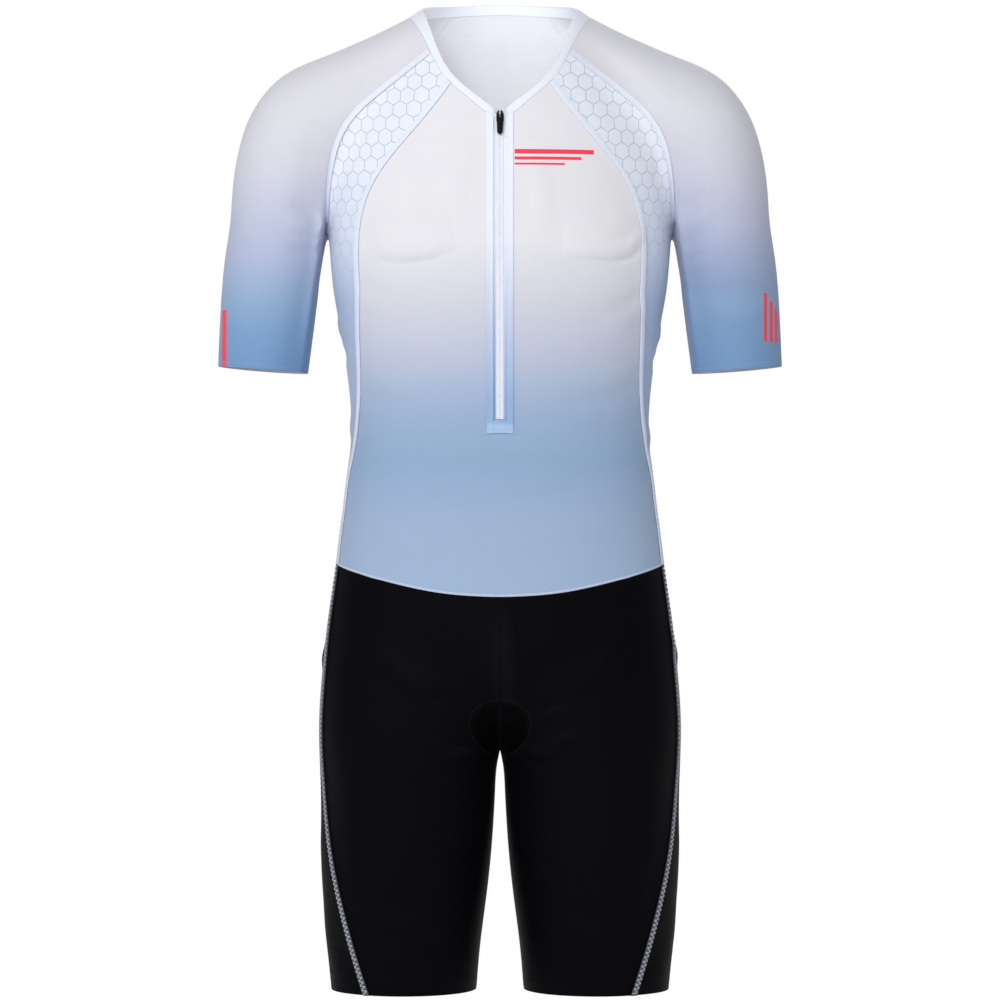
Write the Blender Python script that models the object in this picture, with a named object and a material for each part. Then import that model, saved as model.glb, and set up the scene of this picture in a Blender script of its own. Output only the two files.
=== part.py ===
"""A short-sleeved cycling skinsuit, filled out as it is when worn, built panel by panel.

X runs to the wearer's left, Y to the back and Z up, in metres. The origin lies midway between the
two places beside the neck where the suit rests on the shoulders. Every panel is a grid of points on
one smooth figure, cut along the garment's seams and given the thickness of the cloth.
"""

import math

import bmesh
import bpy
import numpy as np
from mathutils import Matrix, Vector

MM = 0.001

# Cloth
TOP_CLOTH = 1.2 * MM
SHORTS_CLOTH = 1.5 * MM
SEAM_GAP = 0.3 * MM
HEM_DEPTH = 9 * MM
CUFF_DEPTH = 6 * MM
HEM_FOLD = 1.6  # how many cloths thick a turned hem is
BINDING_CLOTH = 2.0 * MM
BINDING_SWELL = 0.5 * MM
TAPE_CLOTH = 1.0 * MM
TAPE_LIFT = 0.75 * MM  # a seam tape's underside, above the panels
TAPE_SETBACK = 0.02  # the share of a row that a tape's ends are drawn in by

# Seams and openings
NECK_ZIP_HALF = 6.3 * MM
PLACKET_HALF = 12.7 * MM
ZIP_TOP_Z = -100.5 * MM
ZIP_END_Z = -394 * MM
ZIP_PATCH = 12.5 * MM
FRONT_WAIST_Z = -562 * MM
UNDERARM_X = 168 * MM
LEG_HEM_Z = -948.5 * MM
FRONT_TAPE_HALF = 3.0 * MM
RAGLAN_TAPE_HALF = 3.0 * MM
SHORTS_TAPE_HALF = 3.2 * MM

# Rows and columns of the panels
RAGLAN_ROWS = 12
SIDE_ROWS = 14
ZIP_ROWS = 19
TORSO_ROWS = RAGLAN_ROWS + SIDE_ROWS
SLEEVE_ROWS = 7
CROTCH_ROWS = 8
INSEAM_ROWS = 10
FRONT_COLUMNS = 6
BAND_COLUMNS = 5
BACK_COLUMNS = 8
SLEEVE_COLUMNS = 14
SHORTS_FRONT_COLUMNS = 9
SHORTS_BACK_COLUMNS = 11
UNDERARM_CROWDING = 1.5  # how far the raglan seams' rows crowd towards the underarm
CROTCH_CROWDING = 1.35  # how far the shorts' rows and columns crowd towards the crotch

# The trunk's sections, from the neck to the hem of the legs, in millimetres. Below the waist each
# section is two overlapping rings, one for each leg, that stand centre_x from the middle.
# height, centre_x, half_width, front_depth, back_depth, blend
TRUNK = (
    (40, 0, 60, 50, 66, 1),
    (0, 0, 76, 62, 78, 1),
    (-45, 0, 100, 77, 93, 1),
    (-90, 0, 131, 89, 103, 1),
    (-130, 0, 154, 97, 108, 1),
    (-176, 0, 166, 105, 112, 1),
    (-237, 0, 166.5, 110, 112, 1),
    (-304, 0, 156, 110, 106, 1),
    (-372, 0, 146.5, 105, 96, 1),
    (-412, 0, 145.5, 102, 90, 1),
    (-470, 0, 152, 101, 90, 1),
    (-535, 12, 149, 99, 98, 20),
    (-588, 30, 139, 97, 109, 35),
    (-645, 60, 115, 95, 118, 40),
    (-690, 83, 94.5, 93, 118, 20),
    (-722, 89.2, 87.8, 91, 112, 8),
    (-764, 90.5, 85, 88, 98, 8),
    (-820, 92.3, 83, 84, 84, 8),
    (-862, 93.5, 79.5, 80, 76, 8),
    (-920, 94.6, 73.5, 75, 69, 8),
    (-955, 94, 70.5, 72, 66, 8),
    (-1010, 93, 67, 68, 62, 8),
)
TRUNK_POWER_TOP = 2.3
TRUNK_POWER_LEGS = 2.05

# The arm's sections, from the neck to below the cuff, in millimetres.
# centre_x, height, radius, depth
ARM = (
    (73, -37, 42, 50),
    (116, -63, 47, 55),
    (138, -76, 50.5, 56.5),
    (162, -89, 53.5, 58),
    (183, -103, 56.5, 59.5),
    (196, -119, 55.5, 60),
    (205, -140, 53, 59.5),
    (211, -163, 51, 58.5),
    (215.5, -199, 48.8, 56.5),
    (222, -237, 47.8, 55.5),
    (228.2, -294, 46.4, 53),
    (232.4, -343, 44.2, 50),
    (236, -400, 41.5, 47),
)
ARM_Y = 6 * MM
ARM_SPANS = 28
CUFF_AT = 377 * MM  # along the arm's line
# height, blend of the arm into the trunk
ARM_BLEND = ((-235, 10), (-130, 30), (-50, 20))

# The neckline round the left half: the turn from the side, 0, to the front, -90, and the back, 90,
# with the heights of the seam below the binding and of the binding's own edge.
# turn, seam_height, edge_height
NECKLINE = (
    (-90, -106, -100),
    (-82.8, -99.8, -90.5),
    (-68, -81, -73),
    (-58, -67.8, -58.6),
    (-42, -39, -27.5),
    (-33, -22.5, -11),
    (-20, -7, 3),
    (0, 1.5, 11.5),
    (30, 7, 17),
    (60, 12, 21.5),
    (90, 15.5, 25),
)
FRONT_SEAM_TURN = -58
RAGLAN_FRONT_TURN = -41
RAGLAN_BACK_TURN = 52

# Seam between the front and the side band. height, turn
FRONT_SEAM = (
    (-111, -44.5),
    (-151, -33.8),
    (-185, -28.9),
    (-217, -27.2),
    (-245, -26.8),
    (-269, -26.4),
    (-305, -24),
    (-354, -20.6),
    (-403, -15.2),
    (-455, -9.6),
    (-491, -8.2),
    (-533, -9.2),
)
FRONT_SEAM_SPLIT_Z = -245 * MM

# Seam between the side band and the back, below the arm. height, turn
BACK_SEAM = ((-270, 12), (-330, 22), (-400, 25), (-470, 24), (-533, 21))

# Raglan seams in front and behind, down to the underarm. x, height
RAGLAN_FRONT = (
    (105.4, -66.4),
    (130.6, -86.3),
    (148.2, -104.3),
    (159.1, -126),
    (165.2, -151.6),
    (167.4, -177.5),
    (168.4, -207),
)
RAGLAN_BACK = (
    (78, -30),
    (103, -62),
    (126, -95),
    (145, -130),
    (158, -165),
    (166, -203),
)

# Height of the waist seam. turn, height
WAIST = (
    (-90, -562),
    (-75, -561),
    (-52, -555.5),
    (-36, -547),
    (-9.2, -533),
    (21, -531),
    (60, -536),
    (90, -540),
)

# Side seam of the shorts, turned about the leg's middle. height, turn
SHORTS_SEAM = (
    (-595, -12.2),
    (-638, -15.1),
    (-680, -18.6),
    (-723, -21.2),
    (-780, -25.6),
    (-822, -33),
    (-864, -41.5),
    (-906, -51.3),
    (-948.5, -61.5),
)

# Seat pad, inside the shorts: the turn about a point above the crotch, from the front to the back,
# with half its width. turn, half_width
PAD_CENTRE_Z = -640 * MM
PAD = (
    (16, 9),
    (22, 20),
    (32, 30),
    (45, 33),
    (75, 31),
    (100, 38),
    (125, 58),
    (145, 70),
    (158, 62),
    (166, 40),
)
PAD_ROWS = 14
PAD_COLUMNS = 4  # on each side
PAD_CROWDING = 1.4
PAD_DEPTH = 5 * MM
PAD_CLEARANCE = 1.6 * MM

# Slide fastener
SLIDER_WIDTH = 7.2 * MM
SLIDER_LENGTH = 11 * MM
SLIDER_PLATE = 1.2 * MM
SLIDER_DROP = 2.5 * MM  # from the zip's top to the slider's middle
WEDGE_HALF = 1.1 * MM
WEDGE_LENGTH = 2.0 * MM
JOINT_OVERLAP = 0.4 * MM  # how far joined boxes run into each other
BEAD_HALF = 3.3 * MM
BEAD_RISE = 1.3 * MM
BEAD_SHOULDER = 0.5 * MM
BEAD_END = 0.6 * MM  # the bead slopes down over this length at the zip's end
PARTING_LENGTH = 1.0 * MM
TAPE_TOP = 8.0 * MM  # from the zip's top to the tapes' upper ends
TAPE_TOP_HALF = 6.0 * MM
ZIP_TAPE_HALF = 11.3 * MM
RUNNING_GAP = 0.35 * MM
BRIDGE_WIDTH = 1.9 * MM
BRIDGE_BAR = 1.1 * MM
BRIDGE_POST = 1.3 * MM
EYE_PLAY = 0.45 * MM
EYE_LENGTH = 3.6 * MM
EYE_UP = 2.0 * MM  # the pull's bar, above the slider's middle
PULL_LENGTH = 21 * MM
PULL_WIDTH = 6.8 * MM
PULL_BAR = 1.2 * MM
PULL_DEPTH = 1.8 * MM
EDGE = 0.3 * MM
BAR_EDGE = 0.2 * MM


class Curve:
    """A smooth curve through rows of values at rising or falling positions."""

    def __init__(self, positions, values):
        order = np.argsort(positions)
        self.at = np.asarray(positions, float)[order]
        self.values = np.asarray(values, float)[order]
        count = len(self.at)
        span = np.diff(self.at)
        left = np.eye(count)
        right = np.zeros_like(self.values)
        slopes = np.diff(self.values, axis=0) / span.reshape((-1,) + (1,) * (self.values.ndim - 1))
        for i in range(1, count - 1):
            left[i, i - 1 : i + 2] = span[i - 1], 2 * (span[i - 1] + span[i]), span[i]
            right[i] = 6 * (slopes[i] - slopes[i - 1])
        self.bend = np.linalg.solve(left, right)

    def __call__(self, at):
        at = np.clip(np.asarray(at, float), self.at[0], self.at[-1])
        i = np.clip(np.searchsorted(self.at, at) - 1, 0, len(self.at) - 2)
        span = self.at[i + 1] - self.at[i]
        after = (at - self.at[i]) / span
        if self.values.ndim > 1:
            span, after = span[..., None], after[..., None]
        before = 1 - after
        bent = (before**3 - before) * self.bend[i] + (after**3 - after) * self.bend[i + 1]
        return before * self.values[i] + after * self.values[i + 1] + span**2 / 6 * bent


def table_curve(rows, scale=MM):
    """The curve of a table whose first column is the position."""
    rows = np.array(rows, float)
    return Curve(rows[:, 0] * scale, rows[:, 1:])


# ---------------------------------------------------------------- the figure that fills the suit


def trunk_sections():
    rows = np.array(TRUNK, float) * MM
    return Curve(rows[:, 0], rows[:, 1:])


def arm_sections():
    rows = np.array(ARM, float) * MM
    steps = np.hypot(np.diff(rows[:, 0]), np.diff(rows[:, 1]))
    return Curve(np.concatenate([[0], np.cumsum(steps)]), rows)


TRUNK_AT = trunk_sections()
ARM_AT = arm_sections()
ARM_LINE = ARM_AT(np.linspace(0, ARM_AT.at[-1], ARM_SPANS))


def blended(a, b, width):
    """The smaller of two distances, rounded where they meet."""
    share = np.maximum(width - np.abs(a - b), 0) / width
    return np.minimum(a, b) - share**2 * width / 4


def from_ring(x, y, half_width, front, back, power):
    """About how far (x, y) lies outside a rounded ring."""
    depth = np.where(y < 0, front, back)
    reach = ((np.abs(x) / half_width) ** power + (np.abs(y) / depth) ** power) ** (1 / power)
    return np.hypot(x, y) * (1 - 1 / np.maximum(reach, 1e-6))


def from_trunk(x, y, z):
    centre, half_width, front, back, blend = np.moveaxis(TRUNK_AT(z), -1, 0)
    power = np.interp(z, [-0.80, -0.60], [TRUNK_POWER_LEGS, TRUNK_POWER_TOP])
    one = from_ring(x - centre, y, half_width, front, back, power)
    other = from_ring(x + centre, y, half_width, front, back, power)
    return blended(one, other, np.maximum(blend, 0.1 * MM))


def from_arm(x, y, z):
    nearest = np.full(np.shape(x), 9.0)
    for start, end in zip(ARM_LINE[:-1], ARM_LINE[1:]):
        run = end[:2] - start[:2]
        along = ((x - start[0]) * run[0] + (z - start[1]) * run[1]) / (run @ run)
        centre = start + (end - start) * np.clip(along, 0, 1)[..., None]
        squeeze = centre[..., 2] / centre[..., 3]
        off = np.sqrt((x - centre[..., 0]) ** 2 + (z - centre[..., 1]) ** 2 + ((y - ARM_Y) * squeeze) ** 2)
        nearest = np.minimum(nearest, off - centre[..., 2])
    return nearest


def outside(points):
    """About how far points lie outside the figure: negative inside it."""
    x, y, z = np.moveaxis(np.asarray(points, float), -1, 0)
    heights, widths = np.array(ARM_BLEND, float).T * MM
    return blended(from_trunk(x, y, z), from_arm(np.abs(x), y, z), np.interp(z, heights, widths))


def slope(points, step=0.2 * MM):
    ways = np.eye(3) * step
    return np.stack([outside(points + way) - outside(points - way) for way in ways], -1) / (2 * step)


def outward(points):
    """The figure's unit normals at points."""
    found = slope(points)
    return found / np.linalg.norm(found, axis=-1, keepdims=True)


def settled(points, rounds=8):
    """Points moved straight out or in, onto the figure."""
    points = np.array(points, float)
    for _ in range(rounds):
        way = slope(points)
        points -= outside(points)[..., None] * way / (way**2).sum(-1, keepdims=True)
    return points


def cast(starts, directions, reach=0.3, steps=100):
    """Where rays that start inside the figure first leave it."""
    starts, directions = np.broadcast_arrays(np.asarray(starts, float), np.asarray(directions, float))
    lengths = np.linspace(0, reach, steps)
    tried = starts[..., None, :] + lengths[:, None] * directions[..., None, :]
    first = np.argmax(outside(tried) > 0, axis=-1)
    low, high = lengths[np.maximum(first - 1, 0)], lengths[first]
    for _ in range(20):
        middle = (low + high) / 2
        out = outside(starts + middle[..., None] * directions) > 0
        low, high = np.where(out, low, middle), np.where(out, middle, high)
    return starts + low[..., None] * directions


def on_front(x, z):
    x, z = np.broadcast_arrays(x, z)
    return cast(np.stack([x, 0 * x, z], -1), (0, -1, 0))


def on_back(x, z):
    x, z = np.broadcast_arrays(x, z)
    return cast(np.stack([x, 0 * x, z], -1), (0, 1, 0))


def around(turn, z, centre=0.0):
    """The figure's points at a turn, in degrees, about an upright line at centre."""
    turn, z, centre = np.broadcast_arrays(np.radians(turn), z, centre)
    middle = np.stack([centre, 0 * z, z], -1)
    return cast(middle, np.stack([np.cos(turn), np.sin(turn), 0 * z], -1))


# ---------------------------------------------------------------- seams


def crowded(count, crowding=1.0):
    """count + 1 shares from 0 to 1: over 1 they crowd towards 0, under 1 towards 1."""
    shares = np.linspace(0, 1, count + 1)
    return shares**crowding if crowding >= 1 else 1 - (1 - shares) ** (1 / crowding)


def spaced(points, count, crowding=1.0):
    """count + 1 points along a line of points, at equal steps or crowded towards an end."""
    steps = np.linalg.norm(np.diff(points, axis=0), axis=1)
    along = np.concatenate([[0], np.cumsum(steps)])
    wanted = crowded(count, crowding) * along[-1]
    return np.stack([np.interp(wanted, along, column) for column in points.T], -1)


def neckline(turn, column=0):
    """The neckline's points at these turns: column 0 is the seam, 1 the binding's edge."""
    return around(turn, table_curve(NECKLINE, 1)(turn)[..., column] * MM)


def waist(turn):
    return around(turn, table_curve(WAIST, 1)(turn)[..., 0] * MM)


def leg_centre(z):
    return TRUNK_AT(z)[..., 0]


def underarm():
    return cast((UNDERARM_X, ARM_Y, -190 * MM), (0, 0, -1))


def front_seam():
    """From the neckline to the waist, with RAGLAN_ROWS down to the arm's level and SIDE_ROWS below."""
    top = neckline(np.array([FRONT_SEAM_TURN]))[0]
    rows = [(top[2] / MM, FRONT_SEAM_TURN), *FRONT_SEAM]
    curve = table_curve(rows)
    upper = np.linspace(top[2], FRONT_SEAM_SPLIT_Z, 60)
    lower = np.linspace(FRONT_SEAM_SPLIT_Z, FRONT_SEAM[-1][0] * MM, 60)
    halves = [around(curve(z)[:, 0], z) for z in (upper, lower)]
    upper, lower = spaced(halves[0], RAGLAN_ROWS), spaced(halves[1], SIDE_ROWS)
    return settled(np.concatenate([upper, lower[1:]]))


def raglan_seam(table, face, turn):
    """From the neckline to the underarm, on the front or on the back."""
    rows = np.array(table, float) * MM
    top = neckline(np.array([turn]))[0]
    given = [top, *face(rows[:, 0], rows[:, 1]), underarm()]
    steps = np.linalg.norm(np.diff(given, axis=0), axis=1)
    along = np.concatenate([[0], np.cumsum(steps)])
    dense = settled(Curve(along, given)(np.linspace(0, along[-1], 80)))
    return settled(spaced(dense, RAGLAN_ROWS, 1 / UNDERARM_CROWDING))


def back_seam():
    """From the underarm to the waist."""
    top = underarm()
    turn = math.degrees(math.atan2(top[1], top[0]))
    z = np.linspace(top[2] - 6 * MM, BACK_SEAM[-1][0] * MM, 60)
    curve = table_curve([(top[2] / MM, turn), *BACK_SEAM])
    return settled(spaced(np.concatenate([[top], around(curve(z)[:, 0], z)]), SIDE_ROWS))


def zip_rows():
    """Heights of the front's rows at the middle: ZIP_ROWS beside the zip and the rest below it."""
    upper = np.linspace(ZIP_TOP_Z, ZIP_END_Z, ZIP_ROWS + 1)
    lower = np.linspace(ZIP_END_Z, FRONT_WAIST_Z, TORSO_ROWS - ZIP_ROWS + 1)
    return np.concatenate([upper, lower[1:]])


# ---------------------------------------------------------------- panels


def patch(top, bottom, left, right, crowding=1.0):
    """A grid filled in between four edges, which share their corners."""
    across = crowded(len(top) - 1, crowding)[None, :, None]
    down = np.linspace(0, 1, len(left))[:, None, None]
    sides = left[:, None] * (1 - across) + right[:, None] * across
    ends = top[None] * (1 - down) + bottom[None] * down
    corners = (top[0] * (1 - across) + top[-1] * across) * (1 - down)
    corners = corners + (bottom[0] * (1 - across) + bottom[-1] * across) * down
    return sides + ends - corners


def to_turns(points, centre):
    """Turn, height and distance about an upright line that may move with the height."""
    x = points[..., 0] - centre(points[..., 2])
    turn = np.arctan2(points[..., 1], x)
    return np.stack([turn, points[..., 2], np.hypot(x, points[..., 1])], -1)


def from_turns(found, centre):
    turn, z, far = np.moveaxis(found, -1, 0)
    return np.stack([centre(z) + far * np.cos(turn), far * np.sin(turn), z], -1)


def round_patch(top, bottom, left, right, centre=np.zeros_like, behind=False, crowding=1.0):
    """A patch bent round an upright line and settled onto the figure.

    With behind set, edges that turn past pi count as the back's, else as the front's.
    """
    edges = [to_turns(edge, centre) for edge in (top, bottom, left, right)]
    for edge in edges:
        wrong = edge[:, 0] < -math.pi / 2 if behind else edge[:, 0] > math.pi - 0.5
        edge[wrong, 0] += 2 * math.pi if behind else -2 * math.pi
    grid = settled(from_turns(patch(*edges, crowding), centre))
    grid[0], grid[-1], grid[:, 0], grid[:, -1] = top, bottom, left, right
    return grid


def mirrored(points):
    return points * (-1, 1, 1)


def both_halves(half):
    """A grid whose first column lies in the middle, joined to its mirror image, right side first."""
    return np.concatenate([mirrored(half)[:, :0:-1], half], axis=1)


def front_half():
    """Columns: the middle, the zip's edge, and FRONT_COLUMNS out to the front seam."""
    seam = front_seam()
    heights = zip_rows()
    middle = on_front(0 * heights, heights)
    edge = on_front(0 * heights + NECK_ZIP_HALF, heights)
    high = math.degrees(math.atan2(edge[0, 1], edge[0, 0]))
    top = neckline(np.linspace(high, FRONT_SEAM_TURN, FRONT_COLUMNS + 1))
    edge[0] = top[0]
    low = math.degrees(math.atan2(edge[-1, 1], edge[-1, 0]))
    bottom = waist(np.linspace(low, FRONT_SEAM[-1][1], FRONT_COLUMNS + 1))
    edge[-1], seam[0], seam[-1] = bottom[0], top[-1], bottom[-1]
    return np.concatenate([middle[:, None], round_patch(top, bottom, edge, seam)], axis=1)


def band_half(front):
    """The yoke beside the front, which goes on down the side: from the front seam outward."""
    seam = front[:, -1]
    raglan = raglan_seam(RAGLAN_FRONT, on_front, RAGLAN_FRONT_TURN)
    rear = back_seam()
    outer = np.concatenate([raglan, rear[1:]])
    top = neckline(np.linspace(FRONT_SEAM_TURN, RAGLAN_FRONT_TURN, BAND_COLUMNS + 1))
    bottom = waist(np.linspace(FRONT_SEAM[-1][1], BACK_SEAM[-1][1], BAND_COLUMNS + 1))
    outer[0], outer[-1] = top[-1], bottom[-1]
    bottom[0], top[0] = seam[-1], seam[0]
    return round_patch(top, bottom, seam, outer)


def back_half(band):
    """From the middle of the back out to the raglan and side seams."""
    raglan = raglan_seam(RAGLAN_BACK, on_back, RAGLAN_BACK_TURN)
    outer = np.concatenate([raglan, band[RAGLAN_ROWS + 1 :, -1]])
    top = neckline(np.linspace(90, RAGLAN_BACK_TURN, BACK_COLUMNS + 1))
    bottom = waist(np.linspace(90, BACK_SEAM[-1][1], BACK_COLUMNS + 1))
    heights = np.linspace(top[0, 2], bottom[0, 2], 80)
    middle = settled(spaced(on_back(0 * heights, heights), TORSO_ROWS))
    outer[0], outer[-1], middle[0], middle[-1] = top[-1], bottom[-1], top[0], bottom[0]
    return round_patch(top, bottom, middle, outer)


def arm_frame(along):
    """The arm line's point and its direction at lengths along it."""
    step = 0.5 * MM
    ahead = ARM_AT(along + step)[..., :2] - ARM_AT(along - step)[..., :2]
    ahead /= np.linalg.norm(ahead, axis=-1, keepdims=True)
    zero = 0 * ahead[..., :1]
    centre = ARM_AT(along)[..., :2]
    y = zero + ARM_Y
    return (
        np.concatenate([centre[..., :1], y, centre[..., 1:]], -1),
        np.concatenate([ahead[..., :1], zero, ahead[..., 1:]], -1),
    )


def to_arm(points):
    """Length along the arm, turn round it (0 on top, pi / 2 behind, -pi / 2 in front) and distance."""
    low = np.zeros(points.shape[:-1])
    high = low + ARM_AT.at[-1]
    for _ in range(40):
        middle = (low + high) / 2
        centre, ahead = arm_frame(middle)
        beyond = ((points - centre) * ahead).sum(-1) > 0
        low, high = np.where(beyond, middle, low), np.where(beyond, high, middle)
    centre, ahead = arm_frame(low)
    upper = np.stack([-ahead[..., 2], 0 * low, ahead[..., 0]], -1)
    off = points - centre
    rise = (off * upper).sum(-1)
    turn = np.arctan2(off[..., 1], rise)
    return np.stack([turn, low, np.linalg.norm(off, axis=-1)], -1)


def from_arm_turns(found):
    turn, along, far = np.moveaxis(found, -1, 0)
    centre, ahead = arm_frame(along)
    upper = np.stack([-ahead[..., 2], 0 * along, ahead[..., 0]], -1)
    behind = np.array([0.0, 1.0, 0.0])
    return centre + far[..., None] * (np.cos(turn)[..., None] * upper + np.sin(turn)[..., None] * behind)


def sleeve_half(band, back):
    """Rows from the neck to the cuff, columns from the front raglan seam over the top to the back's.

    Over the shoulder the rows stand at even steps, which crowd only beside the seams.
    """
    top = neckline(np.linspace(RAGLAN_FRONT_TURN, RAGLAN_BACK_TURN, SLEEVE_COLUMNS + 1))
    seams = to_arm(band[: RAGLAN_ROWS + 1, -1]), to_arm(back[: RAGLAN_ROWS + 1, -1])
    low = seams[0][-1]
    full = 2 * math.pi
    start = low[0] if low[0] < 0 else low[0] - full
    seams[0][:, 0] = np.where(seams[0][:, 0] > math.pi / 2, seams[0][:, 0] - full, seams[0][:, 0])
    seams[1][:, 0] = np.where(seams[1][:, 0] < -math.pi / 2, seams[1][:, 0] + full, seams[1][:, 0])
    cuffs = np.linspace(low[1], CUFF_AT - CUFF_DEPTH, SLEEVE_ROWS)[1:]
    cuffs = np.append(cuffs, CUFF_AT)
    turns = np.linspace(start, start + full, SLEEVE_COLUMNS + 1)
    radii = ARM_AT(cuffs)[:, 2]
    below = [np.stack([turn + 0 * cuffs, cuffs, radii], -1) for turn in turns[[0, -1]]]
    left = np.concatenate([seams[0], below[0]])
    right = np.concatenate([seams[1], below[1]])
    cuff = np.stack([turns, CUFF_AT + 0 * turns, radii[-1] + 0 * turns], -1)
    grid = settled(from_arm_turns(patch(to_arm(top), cuff, left, right)))
    for _ in range(3):
        for column in range(1, SLEEVE_COLUMNS):
            off_middle = abs(2 * column / SLEEVE_COLUMNS - 1)
            crowding = 1 + (UNDERARM_CROWDING - 1) * off_middle
            upper = grid[: RAGLAN_ROWS + 1, column]
            grid[: RAGLAN_ROWS + 1, column] = spaced(upper, RAGLAN_ROWS, 1 / crowding)
        grid = settled(grid)
    grid[0] = top
    grid[: RAGLAN_ROWS + 1, 0] = band[: RAGLAN_ROWS + 1, -1]
    grid[: RAGLAN_ROWS + 1, -1] = back[: RAGLAN_ROWS + 1, -1]
    grid[RAGLAN_ROWS + 1 :, -1] = grid[RAGLAN_ROWS + 1 :, 0]
    return grid


def crotch():
    return cast((0, 0, -620 * MM), (0, 0, -1))


def inner_edge(face):
    """The shorts' middle seam, from the waist to the crotch, and the inseam from there to the hem."""
    low = crotch()
    start = waist(np.array([-90.0 if face is on_front else 90.0]))[0]
    turns = np.radians(np.linspace(2, 90, 60))
    sign = -1 if face is on_front else 1
    over = np.array([0, 0, start[2] - 4 * MM])
    ways = np.stack([0 * turns, sign * np.cos(turns), -np.sin(turns)], -1)
    middle = spaced(np.concatenate([[start], cast(over, ways), [low]]), CROTCH_ROWS, 1 / CROTCH_CROWDING)
    shares = crowded(INSEAM_ROWS - 1, CROTCH_CROWDING)[1:]
    heights = np.append(low[2] + (LEG_HEM_Z + HEM_DEPTH - low[2]) * shares, LEG_HEM_Z)
    inseam = around(180, heights, leg_centre(heights))
    return settled(np.concatenate([middle, inseam]))


def side_edge():
    """The shorts' side seam, with rows level with the inner edge's."""
    top = waist(np.array([FRONT_SEAM[-1][1]]))[0]
    turn = math.degrees(math.atan2(top[1], top[0] - leg_centre(top[2])))
    curve = table_curve([(top[2] / MM, turn), *SHORTS_SEAM])
    ends = np.linspace(top[2], LEG_HEM_Z + HEM_DEPTH, 80)
    found = around(curve(ends)[:, 0], ends, leg_centre(ends))
    rows = spaced(found, CROTCH_ROWS + INSEAM_ROWS - 1)
    last = around(curve(LEG_HEM_Z)[0], LEG_HEM_Z, leg_centre(LEG_HEM_Z))
    return settled(np.concatenate([rows, [last]]))


def shorts_half(face):
    """One half of a leg, from its middle seam and inseam round to the side seam."""
    in_front = face is on_front
    inner, outer = inner_edge(face), side_edge()
    middle, count = (-90, SHORTS_FRONT_COLUMNS) if in_front else (90, SHORTS_BACK_COLUMNS)
    shares = crowded(count, CROTCH_CROWDING)
    top = waist(middle + (FRONT_SEAM[-1][1] - middle) * shares)
    inner[0], outer[0] = top[0], top[-1]
    start = 2 * middle
    end = math.degrees(to_turns(outer[-1], leg_centre)[0])
    bottom = around(start + (end - start) * shares, LEG_HEM_Z, leg_centre(LEG_HEM_Z))
    bottom[0], bottom[-1] = inner[-1], outer[-1]
    return round_patch(top, bottom, inner, outer, leg_centre, not in_front, CROTCH_CROWDING)


# ---------------------------------------------------------------- solids


def inset(grid, by=SEAM_GAP / 2):
    """The grid with its four edges drawn in by half the gap between two panels."""
    moved = grid.copy()
    for edge, beside in ((0, 1), (-1, -2)):
        for axis in (0, 1):
            ends, inner = np.take(grid, edge, axis), np.take(grid, beside, axis)
            way = inner - ends
            way *= by / np.linalg.norm(way, axis=-1, keepdims=True)
            if axis == 0:
                moved[edge] += way
            else:
                moved[:, edge] += way
    return moved


def wall(name, grid, thickness, colour, lift=0.0, flip=False, keep=None, roughness=0.8):
    """A closed wall over a grid: its outer skin stands lift above the grid, its inner one under it."""
    rows, columns = grid.shape[:2]
    keep = np.ones((rows - 1, columns - 1), bool) if keep is None else keep
    normals = outward(grid)
    outer = grid + normals * np.broadcast_to(lift, (rows, columns))[..., None]
    inner = outer - normals * np.broadcast_to(thickness, (rows, columns))[..., None]
    shape = bmesh.new()
    skins = [[[None] * columns for _ in range(rows)] for _ in range(2)]

    def corner(skin, i, j):
        if skins[skin][i][j] is None:
            skins[skin][i][j] = shape.verts.new((outer, inner)[skin][i, j])
        return skins[skin][i][j]

    def kept(i, j):
        return 0 <= i < rows - 1 and 0 <= j < columns - 1 and keep[i, j]

    def face(corners, first):
        """A quad as two triangles that share the diagonal from its corner number first."""
        corners = corners[first:] + corners[:first]
        for triangle in ((0, 1, 2), (0, 2, 3)):
            ring = [corners[n] for n in triangle]
            shape.faces.new(ring[::-1] if flip else ring)

    def skin_face(corners):
        lengths = [(corners[n].co - corners[n + 2].co).length for n in (0, 1)]
        face(corners, 0 if lengths[0] < lengths[1] else 1)

    for i, j in zip(*np.nonzero(keep)):
        ring = (i, j), (i + 1, j), (i + 1, j + 1), (i, j + 1)
        beside = (i, j - 1), (i + 1, j), (i, j + 1), (i - 1, j)
        skin_face([corner(0, *at) for at in ring])
        skin_face([corner(1, *at) for at in ring[::-1]])
        for start, end, neighbour in zip(ring, ring[1:] + ring[:1], beside):
            if not kept(*neighbour):
                rim = [corner(0, *end), corner(0, *start), corner(1, *start), corner(1, *end)]
                face(rim, 1 if start < end else 0)
    return finish(name, shape, colour, roughness)


def finish(name, shape, colour, roughness=0.8, metallic=0.0, smooth_below=35):
    """Makes the named object of a bmesh and gives it a material of its own."""
    mesh = bpy.data.meshes.new(name)
    shape.to_mesh(mesh)
    shape.free()
    part = bpy.data.objects.new(name, mesh)
    PARTS.objects.link(part)
    material = bpy.data.materials.new(name)
    material.use_nodes = True
    shader = material.node_tree.nodes["Principled BSDF"]
    shader.inputs["Base Color"].default_value = (*colour, 1)
    shader.inputs["Roughness"].default_value = roughness
    shader.inputs["Metallic"].default_value = metallic
    mesh.materials.append(material)
    mesh.shade_smooth()
    mesh.set_sharp_from_angle(angle=math.radians(smooth_below))
    return part


def pair(name, grid, *args, flip=False, **named):
    """The same wall on the wearer's left and, mirrored, on the right."""
    wall(f"{name}_left", grid, *args, flip=flip, **named)
    wall(f"{name}_right", mirrored(grid), *args, flip=not flip, **named)


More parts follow.
